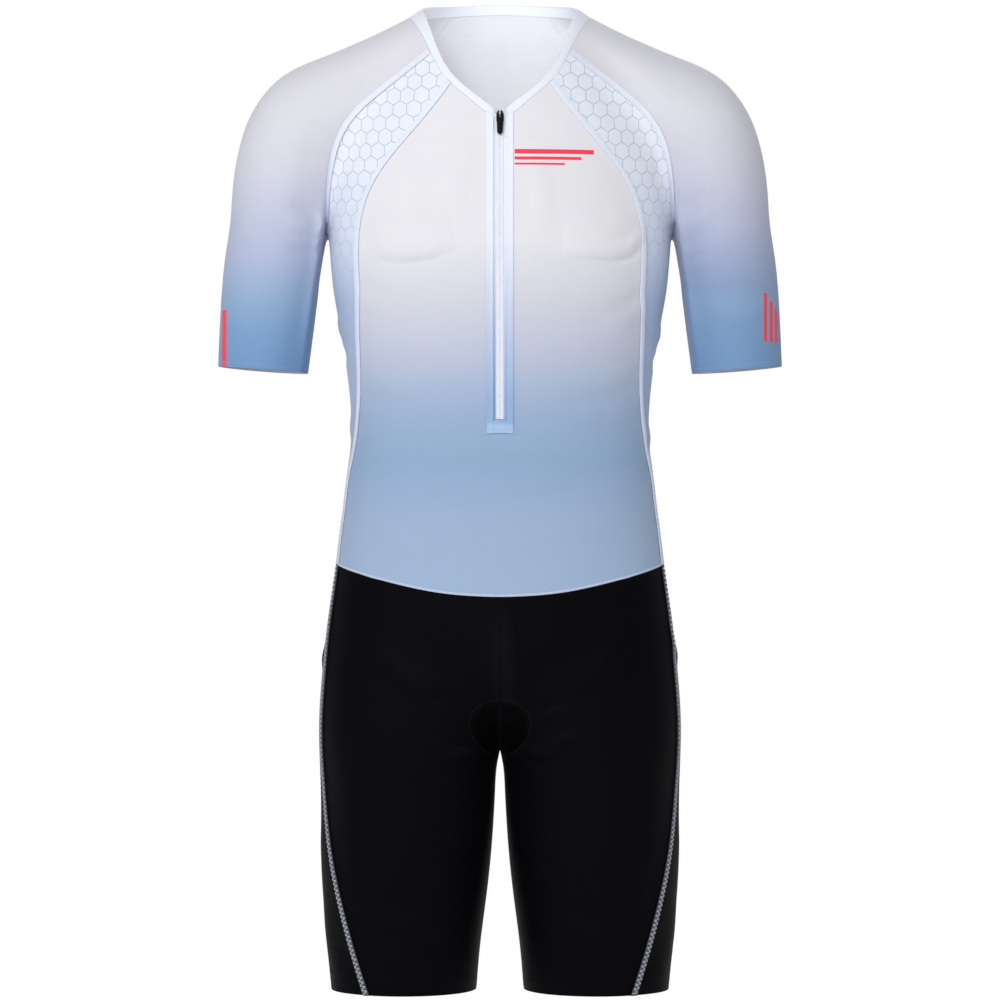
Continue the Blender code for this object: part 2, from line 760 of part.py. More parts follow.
def seam_tape(name, seam, one, other, half, flip=False):
    """A tape that covers a seam, made from the seam's points and the points beside it on each panel."""

    def beside(points, reach):
        way = points - seam
        return seam + way * reach / np.linalg.norm(way, axis=-1, keepdims=True)

    strip = np.stack([beside(one, half), seam, beside(other, half)], axis=1)
    strip[0] += (strip[1] - strip[0]) * TAPE_SETBACK
    strip[-1] += (strip[-2] - strip[-1]) * TAPE_SETBACK
    pair(name, strip, TAPE_CLOTH, PALE, lift=TAPE_CLOTH + TAPE_LIFT, flip=flip)


# ---------------------------------------------------------------- zip


def zip_column(front, x):
    """A column of the front's points at x, on the facets between its middle and second columns."""
    middle, edge, beyond = front[:, 0], front[:, 1], front[:, 2]
    if x <= NECK_ZIP_HALF:
        return middle + (edge - middle) * (x / NECK_ZIP_HALF)
    return edge + (beyond - edge) * ((x - edge[:, :1]) / (beyond - edge)[:, :1])


def zip_strip(front, places, rows):
    """The front's points at these places beside the zip, at whole rows and at shares between them."""
    columns = np.stack([zip_column(front, x) for x in places], axis=1)
    below = np.clip(np.floor(rows).astype(int), 0, len(columns) - 2)
    share = (np.asarray(rows) - below)[:, None, None]
    return columns[below] * (1 - share) + columns[below + 1] * share


def zip_row_list(front, *below):
    """Rows down to the zip's end, the first just under the neckline, and more at lengths past the end."""
    step = np.linalg.norm(front[ZIP_ROWS + 1, 0] - front[ZIP_ROWS, 0])
    rows = [TAPE_SETBACK, *range(1, ZIP_ROWS)]
    return rows + [ZIP_ROWS + length / step for length in below]


def zip_placket(front):
    """The bonded frame round the zip, closed by a patch below it."""
    places = (0, NECK_ZIP_HALF, PLACKET_HALF)
    strip = both_halves(zip_strip(front, places, zip_row_list(front, 0, ZIP_PATCH)))
    keep = np.ones((ZIP_ROWS + 1, 4), bool)
    keep[:ZIP_ROWS, 1:3] = False
    wall("zip_placket", strip, TAPE_CLOTH, WHITE, lift=TAPE_CLOTH + SEAM_GAP, keep=keep)


def zip_tapes(front):
    """The tapes under the front's edges, each with the raised bead of the closed coil.

    Above the slider they part, and run up between the binding's ends.
    """
    places = np.array([SEAM_GAP / 2, BEAD_HALF, BEAD_HALF + BEAD_SHOULDER, TAPE_TOP_HALF, ZIP_TAPE_HALF])
    strip = zip_strip(front, places, zip_row_list(front, -2 * BEAD_END, -BEAD_END, ZIP_PATCH / 2))
    parted = WEDGE_HALF + places[:4] * (1 - WEDGE_HALF / TAPE_TOP_HALF)
    parted += RUNNING_GAP * (1 - places[:4] / TAPE_TOP_HALF)
    heights = strip[0, 0, 2] + np.array([TAPE_TOP, PARTING_LENGTH])[:, None]
    above = on_front(parted[None], heights)
    above = np.concatenate([above, above[:, -1:]], axis=1)
    strip = np.concatenate([above, strip])
    low = -(TOP_CLOTH + SEAM_GAP)
    raised = np.zeros(strip.shape[:2])
    raised[2:-2, :2] = BEAD_RISE
    keep = np.ones((len(strip) - 1, len(places) - 1), bool)
    keep[:2, -1] = False
    pair("zip_tape", strip, TAPE_CLOTH + raised, WHITE, lift=low + raised, keep=keep)


def box(shape, low, high, bevel=0.0):
    """Adds a box between two corners to a bmesh, its edges rounded by bevel."""
    low, high = Vector(low), Vector(high)
    place = Matrix.Translation((low + high) / 2) @ Matrix.Diagonal((*(high - low), 1))
    made = bmesh.ops.create_cube(shape, size=1, matrix=place)["verts"]
    if bevel:
        edges = list({edge for vert in made for edge in vert.link_edges})
        bmesh.ops.bevel(shape, geom=edges, offset=bevel, segments=1, profile=0.5, affect="EDGES")


def joined(name, boxes, colour, roughness, metallic, frame):
    """Boxes that overlap, united into one solid and placed by a frame."""
    made = []
    for low, high, bevel in boxes:
        shape = bmesh.new()
        box(shape, low, high, bevel)
        made.append(finish(name, shape, colour, roughness, metallic))
    first = made[0]
    for other in made[1:]:
        join = first.modifiers.new("join", "BOOLEAN")
        join.operation = "UNION"
        join.object = other
        other.hide_render = True
        other.display_type = "WIRE"
        other.name = f"{name}_shape"
        PARTS.objects.unlink(other)
        CUTTERS.objects.link(other)
        other.parent = first
    first.matrix_world = frame
    return first


def zip_frame():
    """At the slider: X across, Y up along the zip, Z straight out of the cloth."""
    z = ZIP_TOP_Z - SLIDER_DROP
    at = on_front(np.array([0.0]), np.array([z]))
    out = Vector(outward(at)[0])
    across = Vector((1, 0, 0))
    up = out.cross(across)
    frame = Matrix((across, up, out)).transposed().to_4x4()
    frame.translation = Vector(at[0])
    return frame


def zip_slider(frame):
    """Two plates joined by a wedge above the zip's top, and a bridge that holds the pull."""
    half, long = SLIDER_WIDTH / 2, SLIDER_LENGTH / 2
    front = RUNNING_GAP
    rear = -(TOP_CLOTH + SEAM_GAP + TAPE_CLOTH + RUNNING_GAP)
    lap = JOINT_OVERLAP
    face = front + SLIDER_PLATE
    arch = face + EYE_PLAY + PULL_BAR + EYE_PLAY
    roof = arch + BRIDGE_BAR
    bar = BRIDGE_WIDTH / 2
    upper, lower = EYE_UP + PULL_BAR / 2 + EYE_PLAY, EYE_UP - PULL_BAR / 2 - EYE_PLAY
    post = BRIDGE_POST
    boxes = (
        ((-half, -long, front), (half, long, face), EDGE),
        ((-half, -long, rear - SLIDER_PLATE), (half, long, rear), EDGE),
        ((-WEDGE_HALF, long - WEDGE_LENGTH, rear - lap), (WEDGE_HALF, long - EDGE, front + lap), 0.0),
        ((-bar, upper, face - lap), (bar, upper + post, roof - lap), 0.0),
        ((-bar, lower - post, face - lap), (bar, lower, roof - lap), 0.0),
        ((-bar, lower - post, arch), (bar, upper + post, roof), EDGE),
    )
    joined("zip_slider", boxes, STEEL, 0.35, 0.9, frame)


def zip_pull(frame):
    """The tab, with an eye whose bar runs through the slider's bridge: its origin is on that bar."""
    axis_z = RUNNING_GAP + SLIDER_PLATE + EYE_PLAY + PULL_BAR / 2
    half = PULL_WIDTH / 2
    inner = BRIDGE_WIDTH / 2 + EYE_PLAY
    bar = PULL_BAR / 2
    low, high = -bar, -bar + PULL_DEPTH
    arm_end = -EYE_LENGTH - JOINT_OVERLAP
    boxes = (
        ((-half, -PULL_LENGTH + bar, low), (half, -EYE_LENGTH, high), EDGE),
        ((-half, arm_end, low), (-inner, bar, bar), 0.0),
        ((inner, arm_end, low), (half, bar, bar), 0.0),
        ((-half, -bar, -bar), (half, bar, bar), BAR_EDGE),
    )
    joined("zip_pull", boxes, BLACK, 0.5, 0.0, frame @ Matrix.Translation((0, EYE_UP, axis_z)))


# ---------------------------------------------------------------- the whole suit

WHITE = (0.82, 0.83, 0.90)
PALE = (0.72, 0.76, 0.87)
LILAC = (0.66, 0.68, 0.78)
SKY = (0.30, 0.45, 0.66)
BLACK = (0.010, 0.010, 0.012)
STEEL = (0.45, 0.46, 0.48)


def torso_and_sleeves():
    front = front_half()
    band = band_half(front)
    back = back_half(band)
    sleeve = sleeve_half(band, back)
    keep = np.ones((TORSO_ROWS, 2 * (FRONT_COLUMNS + 1)), bool)
    keep[:ZIP_ROWS, FRONT_COLUMNS : FRONT_COLUMNS + 2] = False
    wall("front", inset(both_halves(front)), TOP_CLOTH, LILAC, keep=keep)
    wall("back", inset(both_halves(back)), TOP_CLOTH, LILAC, flip=True)
    pair("side_panel", inset(band), TOP_CLOTH, PALE)
    thickness = np.full(sleeve.shape[:2], TOP_CLOTH)
    thickness[-2:] *= HEM_FOLD
    pair("sleeve", inset(sleeve), thickness, SKY)
    seam_tape("front_seam_tape", front[:, -1], front[:, -2], band[:, 1], FRONT_TAPE_HALF)
    rows = slice(0, RAGLAN_ROWS + 1)
    seam_tape("raglan_tape", band[rows, -1], band[rows, -2], sleeve[rows, 1], RAGLAN_TAPE_HALF)
    neck_binding(front, band, sleeve, back)
    zip_placket(front)
    zip_tapes(front)


def neck_binding(front, band, sleeve, back):
    """A folded strip round the neckline, standing on the panels' top edges."""
    seam = np.concatenate([front[0, 1:], band[0, 1:], sleeve[0, 1:], back[0, -2::-1]])
    turns = np.degrees(np.arctan2(seam[:, 1], seam[:, 0]))
    edge = neckline(turns, 1)
    middle = settled((seam + edge) / 2)
    half = np.stack([seam, middle, edge])
    whole = np.concatenate([half, mirrored(half)[:, -2::-1]], axis=1)
    lift = np.array([0.0, BINDING_SWELL, 0.0])[:, None]
    wall("neck_binding", inset(whole), BINDING_CLOTH + lift, WHITE, lift=lift, flip=True)


def shorts():
    halves = [shorts_half(face) for face in (on_front, on_back)]
    for name, grid, flip in zip(("shorts_front", "shorts_back"), halves, (False, True)):
        thickness = np.full(grid.shape[:2], SHORTS_CLOTH)
        thickness[-2:] *= HEM_FOLD
        pair(name, inset(grid), thickness, BLACK, flip=flip)
    seam_tape("shorts_seam_tape", halves[0][:, -1], halves[0][:, -2], halves[1][:, -2], SHORTS_TAPE_HALF)


def seat_pad():
    """A padded insert that follows the shorts' inside through the crotch."""
    rows = np.array(PAD, float)
    turns = np.linspace(rows[0, 0], rows[-1, 0], PAD_ROWS + 1)
    halves = Curve(rows[:, 0], rows[:, 1])(turns) * MM
    way = np.radians(turns)
    ways = np.stack([0 * way, -np.cos(way), -np.sin(way)], -1)
    middle = cast((0, 0, PAD_CENTRE_Z), ways)
    across = crowded(PAD_COLUMNS, PAD_CROWDING)[None, :, None]
    half = settled(middle[:, None] + across * halves[:, None, None] * np.array([1, 0, 0]))
    wall("seat_pad", both_halves(half), PAD_DEPTH, BLACK, lift=-(SHORTS_CLOTH + PAD_CLEARANCE))


for old in list(bpy.data.objects):
    bpy.data.objects.remove(old)
PARTS = bpy.data.collections.new("skinsuit")
CUTTERS = bpy.data.collections.new("skinsuit_cutters")
for collection in (PARTS, CUTTERS):
    bpy.context.scene.collection.children.link(collection)
torso_and_sleeves()
shorts()
seat_pad()
ZIP = zip_frame()
zip_slider(ZIP)
zip_pull(ZIP)
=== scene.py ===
import math

import bmesh
import bpy
import numpy as np
from mathutils import Matrix, Vector
from mathutils.bvhtree import BVHTree


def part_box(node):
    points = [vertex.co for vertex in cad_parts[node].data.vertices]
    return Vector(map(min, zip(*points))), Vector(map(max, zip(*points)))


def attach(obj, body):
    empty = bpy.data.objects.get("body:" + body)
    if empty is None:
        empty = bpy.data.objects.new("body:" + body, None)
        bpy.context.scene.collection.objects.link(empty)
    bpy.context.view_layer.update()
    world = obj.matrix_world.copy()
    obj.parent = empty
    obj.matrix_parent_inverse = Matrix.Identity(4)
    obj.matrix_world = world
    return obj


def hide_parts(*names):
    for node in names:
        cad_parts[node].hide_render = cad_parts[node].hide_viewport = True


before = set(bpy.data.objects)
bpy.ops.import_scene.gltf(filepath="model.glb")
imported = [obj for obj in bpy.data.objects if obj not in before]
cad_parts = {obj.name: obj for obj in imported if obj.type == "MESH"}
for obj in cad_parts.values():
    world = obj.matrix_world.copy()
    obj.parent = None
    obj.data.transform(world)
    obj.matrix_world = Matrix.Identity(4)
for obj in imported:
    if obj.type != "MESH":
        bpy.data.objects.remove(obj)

MM = 0.001
FRONT, BACK = -math.pi / 2, math.pi / 2
SIDES = {"left": 1, "right": -1}  # the suit's two sides, and the sign of x there
OUTER, INNER, RIM = 1, 2, 0
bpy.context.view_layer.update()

# The lines that the cloth's charts turn about, in millimetres. Legs: height, distance from the
# middle. Arms: distance from the middle, height.
LEG_MIDDLE = (
    (-535, 12), (-588, 30), (-645, 60), (-690, 83), (-722, 89.2), (-820, 92.3), (-955, 94),
)
ARM_LINE = (
    (73, -37), (116, -63), (138, -76), (162, -89), (183, -103), (196, -119), (205, -140),
    (211, -163), (215.5, -199), (222, -237), (228.2, -294), (232.4, -343), (236, -400),
)
ARM_Y = 6 * MM
CUFF = 377 * MM  # how far down the arm's line the cuff lies
ARMPIT = (170, -234)  # distance from the middle and height of the fold under each arm
WAIST = -540  # its height in millimetres
STEP = 3 * MM  # between the points of a line laid on the cloth
NEAR_TURN = 0.035  # how close in turn, in radians, points of the waist count as one place
RIM_BEND = math.radians(48)  # where a wall bends more sharply than this, its skin ends

# Creases: the side they are seen from, half their width and their height in millimetres (below
# zero for a trough), then the points they run through, as seen from that side in millimetres.
# From the front and back a point is x and height, from the sides it is y and height.
CREASES = (
    # under the chest, pulled towards the armholes
    ("front", 5, -1.6, (-118, -239), (-107, -244), (-88, -245), (-66, -242), (-40, -234)),
    ("front", 26, 3.4, (-126, -208), (-102, -213), (-78, -213), (-46, -206)),
    ("front", 11, 3.6, (-118, -228), (-107, -233), (-88, -234), (-66, -231), (-42, -223)),
    ("front", 5, -1.4, (62, -239), (84, -242), (108, -243), (124, -240), (134, -231), (140, -219)),
    ("front", 11, 3.4, (60, -228), (84, -231), (108, -232), (123, -228), (133, -218), (138, -204)),
    ("front", 24, 3.2, (60, -212), (104, -212), (122, -206), (128, -194)),
    ("front", 13, -1.4, (-139, -262), (-122, -269), (-100, -270)),
    ("front", 11, -1.4, (141, -268), (126, -280), (103, -286)),
    ("front", 13, 1.2, (143, -282), (124, -296), (98, -303)),
    # across the waist
    ("front", 15, 1.4, (-134, -352), (-104, -361), (-66, -364)),
    ("front", 14, -1.2, (-138, -371), (-112, -380), (-84, -382)),
    ("front", 15, 1.4, (132, -344), (108, -355), (70, -358)),
    ("front", 14, -1.2, (137, -362), (106, -374), (58, -377)),
    ("front", 16, 1.2, (-30, -447), (18, -455), (66, -450)),
    ("front", 15, -1.1, (-78, -470), (-34, -480), (12, -479)),
    ("front", 14, 1.1, (34, -497), (82, -502), (118, -494)),
    ("front", 14, 1.2, (-126, -507), (-88, -516), (-46, -517)),
    ("front", 16, 1.4, (-26, -128), (-40, -160), (-46, -200)),
    ("front", 15, 1.2, (28, -134), (40, -170), (44, -212)),
    # sleeves, in the fold of the arm
    ("front", 9, -2.3, (-171, -197), (-186, -188), (-204, -181)),
    ("front", 9, 2.1, (-172, -213), (-190, -205), (-209, -200)),
    ("front", 9, -1.8, (-174, -232), (-192, -228), (-206, -227)),
    ("front", 8, -2.3, (172, -190), (184, -184), (199, -170)),
    ("front", 10, 2.4, (173, -208), (189, -200), (210, -186)),
    ("front", 9, -1.9, (175, -226), (194, -216), (214, -206)),
    ("front", 10, 1.6, (178, -247), (198, -240), (216, -236)),
    ("front", 12, 1.4, (-262, -262), (-240, -276), (-212, -280)),
    ("front", 12, 1.4, (206, -288), (230, -294), (258, -288)),
    ("front", 14, -1.4, (96, -42), (124, -62), (150, -92)),
    ("front", 14, -1.2, (-92, -40), (-122, -64), (-144, -90)),
    # back: shoulder blades, small of the back, and the fold of each arm
    ("back", 14, 3, (24, -118), (64, -134), (104, -138), (134, -128)),
    ("back", 13, -2.7, (-30, -128), (-72, -146), (-112, -150), (-138, -141)),
    ("back", 11, -2.7, (150, -186), (128, -202), (92, -210)),
    ("back", 11, 2.7, (-153, -178), (-130, -194), (-98, -203)),
    ("back", 10, -2.2, (-150, -214), (-124, -230), (-86, -236)),
    ("back", 15, 3.5, (-118, -372), (-60, -386), (4, -386), (62, -378)),
    ("back", 12, -3.2, (-96, -396), (-40, -407), (30, -408), (92, -398)),
    ("back", 14, 3, (-62, -424), (0, -432), (74, -427), (112, -416)),
    ("back", 12, -2.5, (-108, -446), (-52, -456), (10, -457)),
    ("back", 14, 2.2, (-20, -480), (46, -486), (98, -478)),
    ("back", 10, 3, (174, -198), (192, -190), (211, -178)),
    ("back", 9, -2.7, (175, -216), (194, -210), (212, -204)),
    ("back", 10, 2.7, (-174, -206), (-193, -196), (-212, -188)),
    ("back", 9, -2.7, (-176, -226), (-195, -218), (-214, -214)),
    ("back", 12, 2.2, (254, -272), (230, -282), (206, -281)),
    # sides, under the arms and above the hips
    ("left", 12, 1.8, (-34, -300), (-6, -310), (28, -306)),
    ("left", 12, -1.6, (-28, -329), (4, -338), (36, -331)),
    ("left", 14, 1.6, (-44, -400), (-10, -409), (30, -402)),
    ("right", 12, 1.8, (-30, -294), (0, -303), (34, -296)),
    ("right", 12, -1.6, (-36, -318), (-8, -329), (24, -326)),
    ("right", 14, 1.6, (-30, -392), (8, -402), (42, -392)),
    # shorts: beside the middle seam, pulled out from the crotch, and in the seat's fold
    ("front", 12, 2.0, (8, -580), (8, -600), (8, -622), (8, -640), (7, -656)),
    ("front", 8, 3.2, (-19, -712), (-32, -710), (-50, -706), (-70, -697)),
    ("front", 7, -1.8, (-21, -722), (-36, -725), (-54, -722)),
    ("front", 8, 3.0, (20, -711), (34, -710), (54, -704), (78, -694)),
    ("front", 7, -1.8, (22, -721), (40, -724), (60, -719)),
    ("front", 9, -1.4, (-32, -672), (-50, -662), (-74, -656)),
    ("front", 9, -1.4, (31, -674), (54, -665), (80, -661)),
    ("front", 5, -1.1, (-14, -659), (-19, -650), (-28, -640)),
    ("front", 5, -1.1, (12, -659), (19, -649), (25, -641)),
    ("front", 5, 0.9, (-6, -658), (-9, -647), (-12, -636)),
    ("front", 17, 1.6, (-122, -612), (-92, -640), (-60, -656)),
    ("front", 17, 1.6, (124, -606), (96, -632), (62, -652)),
    ("front", 20, 1.6, (-112, -730), (-106, -790), (-110, -860)),
    ("front", 20, 1.6, (108, -726), (104, -800), (108, -872)),
    ("front", 13, 1.4, (-60, -868), (-88, -880), (-118, -878)),
    ("front", 13, 1.4, (54, -876), (84, -888), (112, -884)),
    ("back", 11, -4.2, (-18, -742), (-50, -754), (-92, -752), (-128, -738)),
    ("back", 12, 3.2, (-24, -762), (-62, -773), (-104, -770)),
    ("back", 11, -4.2, (20, -744), (56, -757), (96, -753), (126, -741)),
    ("back", 12, 3, (30, -764), (68, -776), (112, -770)),
    ("back", 12, 2.5, (-8, -600), (-34, -640), (-40, -690)),
    ("back", 12, 2.5, (10, -612), (32, -648), (42, -696)),
    ("back", 12, -3, (-132, -838), (-100, -850), (-64, -847)),
    ("back", 12, 2.7, (-128, -858), (-96, -868), (-58, -864)),
    ("back", 12, -3, (58, -846), (94, -856), (130, -846)),
    ("back", 12, 2.7, (66, -868), (100, -877), (134, -868)),
    ("left", 14, 1.6, (-40, -604), (-6, -622), (34, -616)),
    ("right", 14, 1.6, (-30, -612), (6, -626), (42, -616)),
)


def srgb(*levels):
    """A colour from its screen levels, 0 to 255."""
    shares = [v / 255 for v in levels]
    return (*((s / 12.92 if s < 0.04 else ((s + 0.055) / 1.055) ** 2.4) for s in shares), 1)


# The camera stands level in front of the suit, as the photographer did.
camera = bpy.data.objects.new("camera", bpy.data.cameras.new("camera"))
bpy.context.scene.collection.objects.link(camera)
camera.location = (0, -4, -0.4704)
camera.rotation_euler = (math.pi / 2, 0, 0)
camera.data.lens = 146.94
camera.data.sensor_width = 36
bpy.context.scene.camera = camera
bpy.context.scene.view_settings.view_transform = "Standard"


# --- charts: where a point of the cloth lies round and along the body ---


def way_along(line):
    """How far along a line each of its points lies."""
    return np.concatenate([[0], np.cumsum(np.linalg.norm(np.diff(line, axis=0), axis=1))])


def read_at(at, along, rows):
    """Rows of values that belong to a line's points, read at other places along it."""
    return np.stack([np.interp(at, along, column) for column in rows.T], axis=1)


def spaced(points, step=STEP):
    """The line again, with its points evenly spaced."""
    points = np.asarray(points, float)
    along = way_along(points)
    return read_at(np.linspace(0, along[-1], max(2, round(along[-1] / step) + 1)), along, points)


def torso_chart(points, middle=0.0):
    """The turn about an upright line, the way along it, and the way out of it."""
    turn = np.arctan2(points[:, 1], points[:, 0] - middle)
    out = np.stack([np.cos(turn), np.sin(turn), np.zeros(len(points))], axis=1)
    return turn, points[:, 2], out


def leg_middle(sign, height):
    heights, middles = np.array(LEG_MIDDLE[::-1]).T * MM
    return sign * np.interp(height, heights, middles)


def leg_chart(points):
    return torso_chart(points, leg_middle(np.sign(points[:, 0].mean()), points[:, 2]))


def sleeve_chart(points):
    """The turn about the arm's line, the way up along it, and the way out of it."""
    side = np.sign(points[:, 0].mean())
    line = np.array(ARM_LINE) * MM * (side, 1)
    along = way_along(line)
    flat = points[:, [0, 2]]
    best = np.full(len(points), np.inf)
    place = np.zeros(len(points))
    middle = np.zeros((len(points), 2))
    for i, (a, b) in enumerate(zip(line[:-1], line[1:])):
        share = ((flat - a) @ (b - a)) / ((b - a) @ (b - a))
        share = np.clip(share, -2 if i == 0 else 0, 1)
        foot = a + share[:, None] * (b - a)
        away = np.linalg.norm(flat - foot, axis=1)
        nearer = away < best
        best[nearer] = away[nearer]
        place[nearer] = (along[i] + share * (along[i + 1] - along[i]))[nearer]
        middle[nearer] = foot[nearer]
    offset = flat - middle
    outer = np.where(offset @ np.array([side, 0.6]) < 0, -1, 1) * np.linalg.norm(offset, axis=1)
    depth = points[:, 1] - ARM_Y
    turn = np.arctan2(depth, outer)
    out = np.stack([offset[:, 0], depth, offset[:, 1]], axis=1)
    return turn, -place, out / np.maximum(np.linalg.norm(out, axis=1), 1e-9)[:, None]


# --- cloth: each panel is a smooth wall in its CAD node's place ---


def places(mesh):
    flat = np.empty(len(mesh.vertices) * 3, np.float32)
    mesh.vertices.foreach_get("co", flat)
    return flat.reshape(-1, 3).astype(float)


def put_places(mesh, points):
    mesh.vertices.foreach_set("co", points.astype(np.float32).ravel())
    mesh.update()


def shown(name, mesh, body="suit"):
    """The mesh as a piece of the suit."""
    piece = bpy.data.objects.new(name, mesh)
    bpy.context.scene.collection.objects.link(piece)
    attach(piece, body)
    return piece


def finished(bm, name):
    mesh = bpy.data.meshes.new(name)
    bm.to_mesh(mesh)
    bm.free()
    mesh.shade_smooth()
    return mesh


def merged_copy(node):
    bm = bmesh.new()
    bm.from_mesh(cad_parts[node].data)
    bmesh.ops.remove_doubles(bm, verts=bm.verts, dist=1e-6)
    return bm


def mark_skins(bm, chart):
    """Creases the rims of the wall, and gives its inner skin the second finish."""
    crease = bm.edges.layers.float.new("crease_edge")
    skin = bm.faces.layers.int.new("skin")
    for edge in bm.edges:
        sharp = edge.calc_face_angle(math.pi) > RIM_BEND
        edge.smooth = not sharp
        edge[crease] = 1.0 if sharp else 0.0
    bmesh.ops.join_triangles(
        bm,
        faces=bm.faces,
        cmp_sharp=True,
        angle_face_threshold=math.radians(40),
        angle_shape_threshold=math.radians(75),
    )
    bm.faces.ensure_lookup_table()
    centres = np.array([face.calc_center_median() for face in bm.faces])
    outward = chart(centres)[2]
    whole = sum(face.calc_area() for face in bm.faces)
    left = set(bm.faces)
    while left:
        patch, waiting = [], [left.pop()]
        while waiting:
            face = waiting.pop()
            patch.append(face)
            for edge in face.edges:
                for other in edge.link_faces if edge.smooth else ():
                    if other in left:
                        left.remove(other)
                        waiting.append(other)
        area = sum(face.calc_area() for face in patch)
        facing = sum(face.calc_area() * face.normal.dot(outward[face.index]) for face in patch)
        if area < 0.01 * whole or abs(facing) < 0.4 * area:
            kind = RIM
        else:
            kind = OUTER if facing > 0 else INNER
        for face in patch:
            face[skin] = kind
            face.material_index = 1 if kind == INNER else 0


def rounded_off(mesh, levels):
    """The mesh subdivided, with its own points kept where they are."""
    helper = bpy.data.objects.new("helper", mesh)
    bpy.context.scene.collection.objects.link(helper)
    smoother = helper.modifiers.new("smoother", "SUBSURF")
    smoother.levels = smoother.render_levels = 1
    wanted = places(mesh)
    for _ in range(4):
        graph = bpy.context.evaluated_depsgraph_get()
        now = places(helper.evaluated_get(graph).data)[: len(wanted)]
        put_places(mesh, places(mesh) + 0.9 * (wanted - now))
    smoother.levels = smoother.render_levels = levels
    graph = bpy.context.evaluated_depsgraph_get()
    smooth = bpy.data.meshes.new_from_object(helper.evaluated_get(graph))
    bpy.data.objects.remove(helper)
    smooth.shade_smooth()
    return smooth


def round_oval(points, front):
    """How far round the body a point lies from its front or back middle, and the way all round."""
    wide, deep = 0.155, 0.1
    turns = np.linspace(-math.pi, math.pi, 361)
    speed = np.hypot(wide * np.cos(turns), deep * np.sin(turns))
    table = np.concatenate([[0], np.cumsum((speed[1:] + speed[:-1]) / 2 * np.diff(turns))])
    across, ahead = points[:, 0] / wide, points[:, 1] / deep * (-1 if front else 1)
    size = np.hypot(across, ahead)
    from_middle = np.interp(np.arctan2(across, ahead), turns, table) - table[len(table) // 2]
    return size * from_middle, size * table[-1]


def numbers_of(rows, name):
    """One whole number from each row of a mesh, such as each face."""
    values = np.empty(len(rows), np.int32)
    rows.foreach_get(name, values)
    return values


def lay_flat(mesh, chart, middle, radius):
    """Gives the cloth its flat map in metres, from the middle of the body, leg or arm."""
    turn, along, _ = chart(places(mesh))
    if chart is torso_chart:
        turn, whole = round_oval(places(mesh), middle != BACK)
        turn, radius = turn / whole * math.tau, whole / math.tau
    else:
        turn = (turn - middle + math.pi) % math.tau - math.pi
    corner = numbers_of(mesh.loops, "vertex_index")
    starts = numbers_of(mesh.polygons, "loop_start")
    counts = numbers_of(mesh.polygons, "loop_total")
    first = np.repeat(turn[corner[starts]], counts)
    round_it = first + (turn[corner] - first + math.pi) % math.tau - math.pi
    radius = np.broadcast_to(radius, len(turn))[corner]
    flat = np.stack([round_it * radius, along[corner]], axis=1)
    layer = mesh.uv_layers.new(name="Cloth")
    layer.data.foreach_set("uv", flat.astype(np.float32).ravel())


def in_place_of(node, mesh, ending, body="suit"):
    """The mesh as the visible piece that stands for a CAD node."""
    piece = shown(node + ending, mesh, body)
    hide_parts(node)
    return piece


def cloth(node, levels, chart=torso_chart, middle=FRONT, radius=None):
    """The node's wall as smooth cloth; the rest says how its flat map lies."""
    bm = merged_copy(node)
    mark_skins(bm, chart)
    smooth = rounded_off(finished(bm, node), levels)
    smooth.name = node + "_cloth"
    lay_flat(smooth, chart, middle, radius)
    return in_place_of(node, smooth, "_cloth")


panels = {
    "front": cloth("front", 3),
    "back": cloth("back", 3, torso_chart, BACK),
    "neck_binding": cloth("neck_binding", 2),
    "zip_placket": cloth("zip_placket", 2),
    "seat_pad": cloth("seat_pad", 3),
}
for side in SIDES:
    for node, levels, *chart in (
        ("side_panel_", 3),
        ("sleeve_", 3, sleeve_chart, 0.0, 0.052),
        ("front_seam_tape_", 2),
        ("raglan_tape_", 2),
        ("zip_tape_", 1),
        ("shorts_front_", 3, leg_chart, FRONT, 0.085),
        ("shorts_back_", 3, leg_chart, BACK, 0.085),
        ("shorts_seam_tape_", 2, leg_chart, FRONT, 0.085),
    ):
        panels[node + side] = cloth(node + side, levels, *chart)


# --- lines on the cloth ---


def cast(origins, ways, names=None):
    """Where rays first meet the cloth, and which way it faces there."""
    hits, facing = [], []
    for origin, way in zip(map(Vector, origins), map(Vector, ways)):
        nearest = None
        for name in names or panels:
            found, place, normal, _ = panels[name].ray_cast(origin, way)
            if found and (nearest is None or (place - origin).length < nearest[0]):
                nearest = ((place - origin).length, place, normal)
        if nearest:
            hits.append(nearest[1])
            facing.append(nearest[2] if nearest[2].dot(way) < 0 else -nearest[2])
    return np.array(hits).reshape(-1, 3), np.array(facing).reshape(-1, 3)


def seen_line(side, points, step=STEP, names=None):
    """A line drawn as seen from one side, in millimetres, laid on the cloth."""
    flat = spaced(np.array(points) * MM, step)
    ways = {"front": (0, 1, 0), "back": (0, -1, 0), "left": (-1, 0, 0), "right": (1, 0, 0)}
    level, zero = flat[:, 0], np.zeros(len(flat))
    spots = (zero, level, flat[:, 1]) if side in SIDES else (level, zero, flat[:, 1])
    return cast(np.stack(spots, axis=1) - np.array(ways[side]), [ways[side]] * len(flat), names)


def outer_skin(names):
    """A tree of the outer skins of some panels, to find the nearest place on them."""
    points, faces = [], []
    for name in names:
        mesh = panels[name].data
        start = len(points)
        points += places(mesh).tolist()
        skin = mesh.attributes["skin"].data
        faces += [
            [i + start for i in face.vertices]
            for face in mesh.polygons
            if skin[face.index].value == OUTER
        ]
    return BVHTree.FromPolygons(points, faces)


